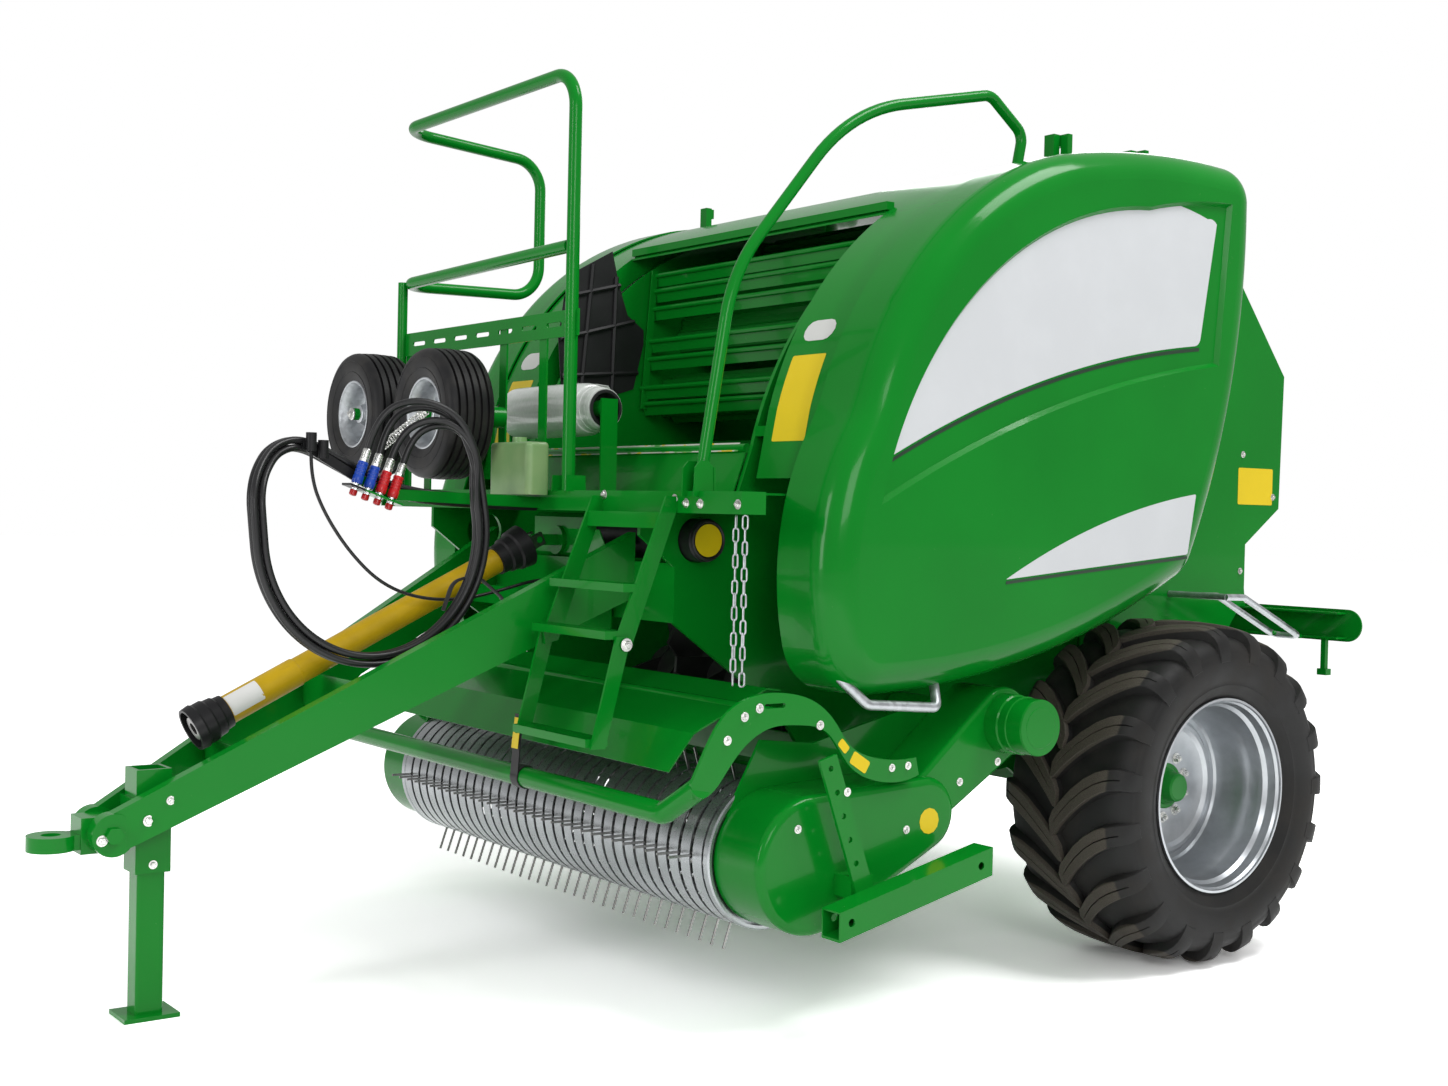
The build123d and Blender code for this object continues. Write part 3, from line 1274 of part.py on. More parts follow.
def build_control_cable():
    x, y, z = CABLE_GLAND
    return cord((CABLE_START, (CABLE_START[0], -2570, 1472), (x - 3, -2530, 1372), (x - 5, -2450, 1262),
                 (x - 8, -2350, 1172), (x - 8, -2230, 1128), (x - 6, -2090, 1122), (x - 3, -1950, 1152),
                 (x, -1830, z), (x, y, z)), 5, "control_cable")


# ---- write every piece ----

pieces = {
    "tow_eye": build_tow_eye(),
    "drawbar": build_drawbar(),
    "jack_leg": build_jack_leg(),
    "pto_guard": build_pto_guard(),
    "pto_shaft": build_pto_shaft(),
    "gearbox": build_gearbox(),
    "crossbeam": build_crossbeam(),
    "axle": build_axle(),
    "chamber_rollers": build_rollers(FIXED_ROLLERS),
    "front_cover": build_front_cover(),
    "tailgate_skin": build_tailgate_skin(),
    "tailgate_rollers": build_rollers(TAILGATE_ROLLERS),
    "light_beam": build_light_beam(),
    "feed_rotor": build_feed_rotor(),
    "feed_floor": build_feed_floor(),
    "pickup_frame": build_pickup_frame(),
    "pickup_bands": build_bands(),
    "pickup_reel": build_reel(),
    "pickup_end_left": build_pickup_end(True),
    "pickup_end_right": other_side(build_pickup_end(False)),
    "crop_guard": build_crop_guard(),
    "platform": build_platform(),
    "left_rack": build_left_rack(),
    "chains": build_chains(),
    "ladder_lower": build_ladder_lower(),
    "gauge_wheel_1": gauge_wheel(*GAUGE_PLACES[0]),
    "gauge_wheel_2": gauge_wheel(*GAUGE_PLACES[1]),
    "wrap_roll": build_wrap_roll(),
    "oil_tank": build_oil_tank(),
    "hose_holder": build_hose_holder(),
    "couplers": build_couplers(),
    "hose_coil": build_hose_coil(),
    "hose_lead": build_hose_lead(),
    "hose_tails": build_hose_tails(),
    "control_cable": build_control_cable(),
}
for name, solid in (("side_plate", build_side_plate()), ("side_door", build_door()), ("tailgate", build_cheek()),
                    ("tyre", wheel_revolve(tyre_outline, TYRE_X)), ("wheel", build_wheel())):
    pieces[name + "_left"] = solid
    pieces[name + "_right"] = other_side(solid)

for name, solid in pieces.items():
    save(solid, name)
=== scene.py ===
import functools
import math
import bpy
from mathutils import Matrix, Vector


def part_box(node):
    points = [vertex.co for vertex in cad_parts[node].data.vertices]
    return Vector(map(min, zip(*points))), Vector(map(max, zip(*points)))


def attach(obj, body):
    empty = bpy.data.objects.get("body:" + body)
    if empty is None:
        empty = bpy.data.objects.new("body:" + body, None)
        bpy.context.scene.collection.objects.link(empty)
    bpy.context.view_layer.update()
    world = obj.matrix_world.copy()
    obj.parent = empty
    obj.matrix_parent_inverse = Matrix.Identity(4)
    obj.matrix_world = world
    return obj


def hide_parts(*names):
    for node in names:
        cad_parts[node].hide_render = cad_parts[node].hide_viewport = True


bl_info = {
    "name": "Round baler looks",
    "version": (1, 0, 0),
    "blender": (4, 5, 0),
    "location": "3D View > Sidebar > Baler",
    "description": "Finishes and fittings for a fixed-chamber round baler",
    "category": "Object",
}

import bmesh
import bpy
from mathutils import Matrix, Vector

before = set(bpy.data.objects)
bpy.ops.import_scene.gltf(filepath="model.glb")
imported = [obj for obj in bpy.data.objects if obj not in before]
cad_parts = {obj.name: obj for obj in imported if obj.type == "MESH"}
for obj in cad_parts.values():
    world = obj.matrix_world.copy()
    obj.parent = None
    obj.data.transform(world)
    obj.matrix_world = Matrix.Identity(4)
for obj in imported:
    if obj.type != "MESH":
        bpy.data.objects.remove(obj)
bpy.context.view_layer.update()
TYRE_LOW, TYRE_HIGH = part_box("tyre_left")
AXLE_Y = (TYRE_LOW.y + TYRE_HIGH.y) / 2
AXLE_Z = (TYRE_LOW.z + TYRE_HIGH.z) / 2
SIDES = (("left", 1), ("right", -1))


def at(x, y, z):
    """A place in metres from millimetres, with y counted from the wheel axle."""
    return Vector((x / 1000, y / 1000 + AXLE_Y, z / 1000))


def places(points, side=1):
    """Places in metres from points in millimetres, mirrored to the right when side is -1."""
    return [at(side * x, y, z) for x, y, z in points]


def across_x(outline, x):
    """An outline of (y, z) pairs in the plane of one x."""
    return [at(x, y, z) for y, z in outline]


def metres(pairs):
    """Pairs of lengths in metres from millimetres."""
    return [(first / 1000, second / 1000) for first, second in pairs]


# ---- settings ----

class PaintSettings(bpy.types.PropertyGroup):
    green: bpy.props.FloatVectorProperty(
        name="Body paint", description="Colour of the painted body and frame", subtype="COLOR",
        size=3, min=0, max=1, default=(0.002, 0.225, 0.016))
    silver: bpy.props.FloatVectorProperty(
        name="Silver", description="Colour of the rims and the stripper bands", subtype="COLOR",
        size=3, min=0, max=1, default=(0.44, 0.46, 0.48))
    panel: bpy.props.FloatVectorProperty(
        name="Pale panel", description="Colour of the pale panels on the doors", subtype="COLOR",
        size=3, min=0, max=1, default=(0.68, 0.70, 0.72))
    guard: bpy.props.FloatVectorProperty(
        name="Drive shaft guard", description="Colour of the drive shaft's guard tube", subtype="COLOR",
        size=3, min=0, max=1, default=(0.56, 0.36, 0.008))
    label: bpy.props.FloatVectorProperty(
        name="Labels", description="Colour of the blank stickers", subtype="COLOR",
        size=3, min=0, max=1, default=(0.85, 0.62, 0.01))
    gloss: bpy.props.FloatProperty(
        name="Paint roughness", description="Roughness of the paint's top coat", subtype="FACTOR",
        min=0.02, max=1, default=0.16)


class TyreSettings(bpy.types.PropertyGroup):
    lugs: bpy.props.IntProperty(
        name="Lugs", description="Tread lugs on each side of the tyre", min=8, max=40, default=19)
    lug_width: bpy.props.FloatProperty(
        name="Lug width", description="Width of a lug round the tyre", unit="LENGTH",
        min=0.02, max=0.12, default=0.070)
    sweep: bpy.props.FloatProperty(
        name="Lug sweep", description="Angle that a lug covers from its head to the shoulder",
        subtype="ANGLE", min=0, max=1, default=math.radians(19))


class HoseSettings(bpy.types.PropertyGroup):
    hose_radius: bpy.props.FloatProperty(
        name="Hose radius", description="Outside radius of the hydraulic hoses", unit="LENGTH",
        min=0.003, max=0.02, default=0.0102)
    cable_radius: bpy.props.FloatProperty(
        name="Cable radius", description="Outside radius of the control cable", unit="LENGTH",
        min=0.002, max=0.01, default=0.005)
    lane: bpy.props.FloatProperty(
        name="Lane", description="Distance of each hose from the middle of the bundle, both ways",
        unit="LENGTH", min=0.005, max=0.05, default=0.0115)
    coil_radius: bpy.props.FloatProperty(
        name="Coil radius", description="Middle radius of the hose coil", unit="LENGTH",
        min=0.1, max=0.6, default=0.365)
    chain_link: bpy.props.FloatProperty(
        name="Chain link", description="Inside length of a chain link", unit="LENGTH",
        min=0.01, max=0.1, default=0.034)


class StageSettings(bpy.types.PropertyGroup):
    lens: bpy.props.FloatProperty(
        name="Lens", description="Focal length of the camera", unit="CAMERA", min=10, max=200,
        default=43.66)
    azimuth: bpy.props.FloatProperty(
        name="Azimuth", description="Direction of the camera round the machine", subtype="ANGLE",
        default=math.radians(53.3))
    pitch: bpy.props.FloatProperty(
        name="Pitch", description="How far the camera looks down", subtype="ANGLE",
        default=math.radians(0.995))
    roll: bpy.props.FloatProperty(
        name="Roll", description="Turn of the camera about its own axis", subtype="ANGLE",
        default=math.radians(1.29))
    eye: bpy.props.FloatVectorProperty(
        name="Camera place", description="Where the camera stands, y counted from the axle",
        subtype="TRANSLATION", size=3, default=(4.726, -4.577, 1.399))
    key: bpy.props.FloatProperty(
        name="Key light", description="Power of the large soft light", subtype="POWER", min=0,
        default=300)
    floor_lift: bpy.props.FloatProperty(
        name="Floor lift", description="How far the floor is lifted to white where it is seen", min=0,
        max=2, default=0.06)
    sky: bpy.props.FloatProperty(
        name="Sky", description="Strength of the even light all round", min=0, max=2, default=0.55)


# ---- shader sums ----

class Value:
    """A shader socket that sums can be written with; each sum adds its node."""

    def __init__(self, shader, socket):
        self.shader, self.socket = shader, socket

    def sum(self, operation, *others):
        """A Math node with this socket and up to two other sockets or numbers."""
        inputs = {place: value for place, value in enumerate((self, *others))}
        return self.shader.node("ShaderNodeMath", {"operation": operation}, inputs)[0]

    def __add__(self, other):
        return self.sum("ADD", other)

    def __sub__(self, other):
        return self.sum("SUBTRACT", other)

    def __mul__(self, other):
        return self.sum("MULTIPLY", other)

    def step(self, low, high, start=0.0, end=1.0):
        """Runs smoothly from start to end while this value goes from low to high."""
        return self.shader.node("ShaderNodeMapRange", {"interpolation_type": "SMOOTHSTEP"},
                                {0: self, 1: low, 2: high, 3: start, 4: end})[0]


class Made:
    """A node whose outputs are read as values."""

    def __init__(self, shader, node):
        self.shader, self.made = shader, node

    def __getitem__(self, key):
        return Value(self.shader, self.made.outputs[key])


class Shader:
    """The nodes of one new material or, when kind says so, of a new world."""

    def __init__(self, name, kind="materials"):
        self.owner = getattr(bpy.data, kind).new(name)
        self.owner.use_nodes = True
        self.tree = self.owner.node_tree
        self.tree.nodes.clear()

    @functools.cached_property
    def place(self):
        """The shaded point in metres, in the frame of the CAD."""
        return self.node("ShaderNodeTexCoord")["Object"]

    def node(self, kind, settings=(), inputs=()):
        """Adds a node; its settings come first, then its inputs' values and links."""
        made = self.tree.nodes.new(kind)
        for key, value in dict(settings).items():
            setattr(made, key, value)
        for key, value in dict(inputs).items():
            if isinstance(value, Value):
                self.tree.links.new(value.socket, made.inputs[key])
            else:
                made.inputs[key].default_value = value
        return Made(self, made)

    def part(self, axis):
        """The place's x, y or z in metres, y counted from the axle."""
        value = self.node("ShaderNodeSeparateXYZ", inputs={0: self.place})["XYZ".index(axis)]
        return value - AXLE_Y if axis == "Y" else value

    def reach(self):
        """The place's distance from the axle's line."""
        rearwards, up = self.part("Y"), self.part("Z") - AXLE_Z
        return (rearwards * rearwards + up * up).sum("SQRT")

    def grain(self, scale, detail=3.0, roughness=0.5, stretch=None):
        """Noise from 0 to 1, with scale in bumps a metre."""
        place = self.place
        if stretch:
            place = self.node("ShaderNodeVectorMath", {"operation": "MULTIPLY"},
                              {0: place, 1: stretch})[0]
        return self.node("ShaderNodeTexNoise", inputs={
            "Vector": place, "Scale": scale, "Detail": detail, "Roughness": roughness})[0]

    def blend(self, factor, first, second):
        """A colour between two colours."""
        first, second = (colour if isinstance(colour, Value) else (*colour[:3], 1)
                         for colour in (first, second))
        return self.node("ShaderNodeMix", {"data_type": "RGBA"}, {0: factor, 6: first, 7: second})[2]

    def relief(self, height, strength, distance=0.001):
        """A bumped normal; distance is the height in metres at full strength."""
        return self.node("ShaderNodeBump", inputs={
            "Strength": strength, "Distance": distance, "Height": height})[0]

    def finish(self, **inputs):
        """The surface; inputs are the principled shader's, with _ for a space in their names."""
        named = {}
        for key, value in inputs.items():
            if key.endswith("Color") and not isinstance(value, Value):
                value = (*value[:3], 1)
            named[key.replace("_", " ")] = value
        surface = self.node("ShaderNodeBsdfPrincipled", inputs=named)
        self.node("ShaderNodeOutputMaterial", inputs={"Surface": surface["BSDF"]})
        return self.owner


def lighter(colour, amount):
    """The colour times an amount, which darkens it when it is below 1."""
    return tuple(min(1.0, value * amount) for value in colour[:3])


# ---- finishes ----

BLACK = (0.014, 0.014, 0.015)

def metal_finish(name, colour, rough, scratch=0.02, drift=0.12, metallic=1.0, coat=0.0):
    """Bare or plated metal with a fine grain and patches of a slightly other tone."""
    s = Shader(name)
    patch = s.grain(9, 5)
    fine = s.grain(300, 3, 0.6)
    tone = s.blend(patch.step(0.3, 0.7), lighter(colour, 1 - drift), lighter(colour, 1 + drift))
    return s.finish(Base_Color=tone, Metallic=metallic, Coat_Weight=coat,
                    Roughness=fine.step(0.2, 0.8, rough * 0.8, rough * 1.2),
                    Normal=s.relief(fine, scratch))


def plastic_finish(name, colour, rough, grain=700, relief=0.05, drift=0.1, coat=0.0):
    """Moulded plastic or rubber: an even colour under a fine skin, a little dusty in patches."""
    s = Shader(name)
    patch = s.grain(5, 6, 0.6)
    fine = s.grain(grain, 2)
    tone = s.blend(patch.step(0.35, 0.75), colour, lighter(colour, 1 + drift))
    return s.finish(Base_Color=tone, Coat_Weight=coat, Coat_Roughness=0.15, Specular_IOR_Level=0.3,
                    Roughness=patch.step(0.3, 0.7, rough, min(1.0, rough * 1.3)),
                    Normal=s.relief(fine, relief))


def painted(s, colour, rough):
    """The colour, roughness and skin of sprayed paint, for a shader that adds more to them."""
    drift = s.grain(1.7, 4)
    skin = s.grain(260, 2)
    speck = s.grain(38, 6, 0.7).step(0.66, 0.78)
    tone = s.blend(drift.step(0.3, 0.7), lighter(colour, 0.93), lighter(colour, 1.06))
    tone = s.blend(speck * 0.16, tone, (0.16, 0.26, 0.13))
    return tone, drift.step(0.2, 0.8, rough, rough * 1.35) + speck * 0.18, s.relief(skin, 0.035)


def make_body_paint():
    paint = bpy.context.scene.baler_paint
    s = Shader("body_paint")
    tone, rough, skin = painted(s, paint.green, paint.gloss)
    return s.finish(Base_Color=tone, Roughness=rough, Normal=skin, Coat_Weight=0.13,
                    Coat_Roughness=0.03, Specular_IOR_Level=0.12)


def make_chamber_paint():
    """Paint on rollers and inner sheets, rubbed duller where crop runs."""
    paint = bpy.context.scene.baler_paint
    s = Shader("chamber_paint")
    tone, rough, skin = painted(s, lighter(paint.green, 0.8), 0.34)
    rubbed = s.grain(22, 6, 0.7, (0.25, 1, 1)).step(0.5, 0.8)
    tone = s.blend(rubbed * 0.3, tone, (0.05, 0.16, 0.05))
    return s.finish(Base_Color=tone, Roughness=rough + rubbed * 0.2, Normal=skin,
                    Specular_IOR_Level=0.2)


def make_wheel_paint():
    """Silver rims with a green hub."""
    paint = bpy.context.scene.baler_paint
    s = Shader("wheel_paint")
    hub = s.reach().step(0.0735, 0.0745, 1.0, 0.0)
    tone, _, skin = painted(s, paint.green, paint.gloss)
    cloud = s.grain(30, 5, 0.6)
    silver = s.blend(cloud.step(0.3, 0.7), lighter(paint.silver, 0.9), paint.silver)
    return s.finish(Base_Color=s.blend(hub, silver, tone), Metallic=hub.step(0, 1, 0.9, 0.0),
                    Roughness=cloud.step(0.2, 0.8, 0.3, 0.36), Normal=skin,
                    Specular_IOR_Level=0.3)


def make_galvanised():
    """Zinc plate with its faint spangle."""
    s = Shader("galvanised")
    colour = bpy.context.scene.baler_paint.silver
    spangle = s.node("ShaderNodeTexVoronoi", inputs={"Vector": s.place, "Scale": 70.0})["Color"]
    level = s.node("ShaderNodeSeparateColor", inputs={0: spangle})[0]
    tone = s.blend(level, lighter(colour, 0.86), lighter(colour, 1.1))
    return s.finish(Base_Color=tone, Metallic=0.85, Roughness=level.step(0, 1, 0.34, 0.46),
                    Normal=s.relief(s.grain(180, 3), 0.04))


def make_band_silver():
    """The stripper bands' plating, a little darker than the rims."""
    return metal_finish("band_silver", lighter(bpy.context.scene.baler_paint.silver, 0.82), 0.3,
                        drift=0.1, metallic=0.8, coat=0.2)


def make_edge_strip():
    """A pale strip with loose yellow and green blotches."""
    s = Shader("edge_strip")
    first = s.grain(34, 2, 0.5, (0.6, 1, 1)).step(0.56, 0.60)
    second = s.grain(27, 2, 0.5, (0.5, 1.3, 1.3)).step(0.60, 0.64)
    tone = s.blend(first, (0.66, 0.66, 0.60), (0.75, 0.55, 0.04))
    tone = s.blend(second, tone, (0.12, 0.42, 0.10))
    return s.finish(Base_Color=tone, Roughness=0.4, Normal=s.relief(s.grain(200, 2), 0.05),
                    Specular_IOR_Level=0.3)


def make_film():
    """Stretch film on the roll: milky, glossy, with faint rings from its layers."""
    s = Shader("film")
    rings = s.grain(60, 4, 0.6, (6, 1, 1))
    tone = s.blend(rings.step(0.3, 0.7), (0.60, 0.63, 0.60), (0.74, 0.76, 0.74))
    return s.finish(Base_Color=tone, Roughness=0.22, Coat_Weight=0.5,
                    Normal=s.relief(rings, 0.15, 0.002))


def make_tank_plastic():
    """Cloudy green plastic of the oil tank."""
    s = Shader("tank_plastic")
    cloud = s.grain(8, 4)
    tone = s.blend(cloud.step(0.3, 0.7), (0.22, 0.40, 0.16), (0.30, 0.46, 0.20))
    return s.finish(Base_Color=tone, Roughness=0.34, Coat_Weight=0.2,
                    Normal=s.relief(s.grain(220, 2), 0.05))


def make_tyre_rubber():
    """Dark rubber with pale dust on the tread's faces."""
    s = Shader("tyre_rubber")
    cloud = s.grain(6, 7, 0.65)
    fine = s.grain(420, 4, 0.7)
    worn = s.reach().step(0.5235, 0.5275) * fine.step(0.3, 0.65, 0.35, 1.0)
    tone = s.blend(cloud.step(0.4, 0.75), (0.009, 0.009, 0.009), (0.022, 0.020, 0.018))
    tone = s.blend(worn * 0.8, tone, (0.098, 0.084, 0.066))
    return s.finish(Base_Color=tone, Roughness=cloud.step(0.3, 0.7, 0.5, 0.7),
                    Normal=s.relief(fine, 0.22), Specular_IOR_Level=0.25)


def make_small_tyre():
    """Clean dark rubber of the gauge wheels."""
    s = Shader("small_tyre")
    fine = s.grain(500, 3, 0.6)
    cloud = s.grain(14, 6)
    tone = s.blend(cloud.step(0.4, 0.7), (0.010, 0.010, 0.011), (0.022, 0.021, 0.020))
    return s.finish(Base_Color=tone, Roughness=0.5, Normal=s.relief(fine, 0.15), Specular_IOR_Level=0.25)


def make_shaft_guard():
    """The yellow tube of the drive shaft guard, with black cones at its ends."""
    paint = bpy.context.scene.baler_paint
    s = Shader("shaft_guard")
    front, rear = at(0, -2860, 771), at(0, -1790, 1302)
    line = (rear - front).normalized()
    from_front = s.node("ShaderNodeVectorMath", {"operation": "SUBTRACT"}, {0: s.place, 1: front})[0]
    along = s.node("ShaderNodeVectorMath", {"operation": "DOT_PRODUCT"},
                   {0: from_front, 1: line})["Value"]
    tube = along.step(0.1035, 0.1045) * along.step(1.0435, 1.0445, 1.0, 0.0)
    cloud = s.grain(7, 6, 0.65)
    scuff = s.grain(60, 6, 0.7, (1, 0.3, 0.3)).step(0.55, 0.8)
    tone = s.blend(cloud.step(0.3, 0.7), paint.guard, lighter(paint.guard, 0.85))
    tone = s.blend(scuff * 0.35, tone, (0.25, 0.17, 0.05))
    return s.finish(Base_Color=s.blend(tube, (0.015, 0.015, 0.016), tone),
                    Roughness=cloud.step(0.2, 0.8, 0.3, 0.45), Normal=s.relief(s.grain(300, 2), 0.05),
                    Specular_IOR_Level=0.2)


def painted_beside_black(s, black, dulling):
    """Body paint that gives way to dull black plastic where black is 1."""
    paint = bpy.context.scene.baler_paint
    tone, rough, skin = painted(s, paint.green, paint.gloss)
    return s.finish(Base_Color=s.blend(black, tone, BLACK), Roughness=rough + black * dulling,
                    Normal=skin, Specular_IOR_Level=0.2)


def make_holder_paint():
    """Painted arm whose front end and boots are black."""
    s = Shader("holder_paint")
    return painted_beside_black(s, s.part("Y").step(-2.425, -2.415, 1.0, 0.0), 0.2)


def make_gearbox_paint():
    """The gearbox is painted, and the guard tube over its side shaft is black plastic."""
    s = Shader("gearbox_paint")
    return painted_beside_black(s, s.part("X").step(0.1505, 0.1515), 0.18)


NODE_FINISHES = {
    "body_paint": ("drawbar", "jack_leg", "crossbeam", "axle", "side_plate_left",
                   "side_plate_right", "front_cover", "side_door_left", "side_door_right",
                   "tailgate_left", "tailgate_right", "tailgate_skin", "light_beam",
                   "pickup_frame", "pickup_end_left", "pickup_end_right", "crop_guard",
                   "platform", "left_rack", "ladder_lower", "tow_eye"),
    "galvanised": ("chains",),
    "film": ("wrap_roll",),
    "small_tyre": ("gauge_wheel_1", "gauge_wheel_2"),
    "chamber_paint": ("chamber_rollers", "tailgate_rollers", "feed_floor"),
    # The feed rotor's near-black steel is partly its own dark colour and partly painted shade for the
    # shaded intake.
    "dark_steel": ("feed_rotor",),
    "shaft_guard": ("pto_guard",),
    "spring_steel": ("pickup_reel", "pto_shaft"),
    "band_silver": ("pickup_bands",),
    "tank_plastic": ("oil_tank",),
    "holder_paint": ("hose_holder",),
    "gearbox_paint": ("gearbox",),
}
# Even finishes: how each is made, its colour or the paint setting that holds it, its roughness, and
# what differs from the usual.
EVEN_FINISHES = {
    "zinc": (metal_finish, (0.62, 0.62, 0.60), 0.28, {}),
    "spring_steel": (metal_finish, (0.26, 0.255, 0.25), 0.34, {}),
    # Partly painted shade: near-black steel for the feed rotor, dark in its own right and darkened to
    # stand in for the shade in the intake.
    "dark_steel": (metal_finish, (0.08, 0.08, 0.08), 0.45, {"metallic": 0.7}),
    "chrome": (metal_finish, (0.75, 0.76, 0.78), 0.1, {"scratch": 0.01, "drift": 0.04}),
    "hose_rubber": (plastic_finish, (0.012, 0.012, 0.013), 0.36,
                    {"grain": 900, "relief": 0.12, "coat": 0.15}),
    "black_plastic": (plastic_finish, BLACK, 0.42, {"drift": 0.3}),
    "red_plastic": (plastic_finish, (0.55, 0.012, 0.016), 0.3, {"coat": 0.3}),
    "blue_plastic": (plastic_finish, (0.01, 0.06, 0.42), 0.3, {"coat": 0.3}),
    "panel_white": (plastic_finish, "panel", 0.3, {"relief": 0.01, "drift": 0.04, "coat": 0.3}),
    # Painted shadow: the dark strips laid just below the lower edges of the doors' pale panel and wedge.
    "panel_edge": (plastic_finish, (0.006, 0.035, 0.012), 0.3, {"relief": 0.01, "coat": 0.3}),
    "label": (plastic_finish, "label", 0.32, {"relief": 0.01, "drift": 0.05}),
    "label_white": (plastic_finish, (0.72, 0.72, 0.7), 0.35, {"relief": 0.01, "drift": 0.05}),
}
MAKERS = {
    "body_paint": make_body_paint, "chamber_paint": make_chamber_paint,
    "wheel_paint": make_wheel_paint, "galvanised": make_galvanised, "band_silver": make_band_silver,
    "film": make_film, "edge_strip": make_edge_strip, "tank_plastic": make_tank_plastic,
    "tyre_rubber": make_tyre_rubber, "small_tyre": make_small_tyre, "shaft_guard": make_shaft_guard,
    "holder_paint": make_holder_paint, "gearbox_paint": make_gearbox_paint,
}
finishes = {}


def finish_named(name):
    """A finish by name, made the first time that it is asked for."""
    if name not in finishes:
        if name in EVEN_FINISHES:
            maker, colour, rough, others = EVEN_FINISHES[name]
            if isinstance(colour, str):
                colour = getattr(bpy.context.scene.baler_paint, colour)
            finishes[name] = maker(name, colour, rough, **others)
        else:
            finishes[name] = MAKERS[name]()
    return finishes[name]


# ---- mesh making ----

def arc(first, middle, last, steps):
    """Points along the circle through three 2D points."""
    a, b, c = (Vector(p) for p in (first, middle, last))
    d = 2 * ((b - a).cross(c - a))
    ab, ac = (b - a).length_squared, (c - a).length_squared
    u = Vector((((c - a).y * ab - (b - a).y * ac), ((b - a).x * ac - (c - a).x * ab))) / d
    centre, radius = a + u, u.length
    start = math.atan2(-u.y, -u.x)
    turns = [math.atan2((p - centre).y, (p - centre).x) - start for p in (b, c)]
    mid, end = (turn % math.tau for turn in turns)
    if mid > end:
        end -= math.tau
    return [centre + radius * Vector((math.cos(turn), math.sin(turn)))
            for turn in (start + end * step / steps for step in range(steps + 1))]


def softened(start, corner, end, steps):
    """Points from start to end along the curve that a corner between them pulls on."""
    return [start * (1 - share) ** 2 + corner * 2 * share * (1 - share) + end * share * share
            for share in (step / steps for step in range(steps + 1))]


def rounded_loop(runs, radii):
    """Joins runs of 2D points end to end into a closed outline, rounding the corner after each run."""
    trimmed = []
    for index, run in enumerate(runs):
        start, end = radii[index - 1], radii[index]
        kept = [p for p in run if (p - run[0]).length > start and (p - run[-1]).length > end]
        trimmed.append([run[0] + (run[1] - run[0]).normalized() * start] + kept
                       + [run[-1] + (run[-2] - run[-1]).normalized() * end])
    outline = []
    for index, run in enumerate(trimmed):
        outline += run
        following = trimmed[(index + 1) % len(trimmed)][0]
        if radii[index]:
            outline += softened(run[-1], runs[index][-1], following, 6)[1:-1]
        else:
            outline.pop()
    return outline


def bent_route(points, radius, steps=6):
    """Straight runs joined by bends of one radius, for tubes bent in a press."""
    points = [Vector(p) for p in points]
    route = [points[0]]
    for before, corner, after in zip(points, points[1:], points[2:]):
        into, out = (before - corner).normalized(), (after - corner).normalized()
        cut = min(radius / math.tan(into.angle(out) / 2), 0.45 * (before - corner).length,
                  0.45 * (after - corner).length)
        route += softened(corner + into * cut, corner, corner + out * cut, steps)
    return route + [points[-1]]


def upright(direction):
    """Two directions square to one direction and to each other."""
    direction = Vector(direction).normalized()
    first = direction.cross(Vector((0, 0, 1)))
    if first.length < 0.01:
        first = direction.cross(Vector((0, 1, 0)))
    first.normalize()
    return first, direction.cross(first)


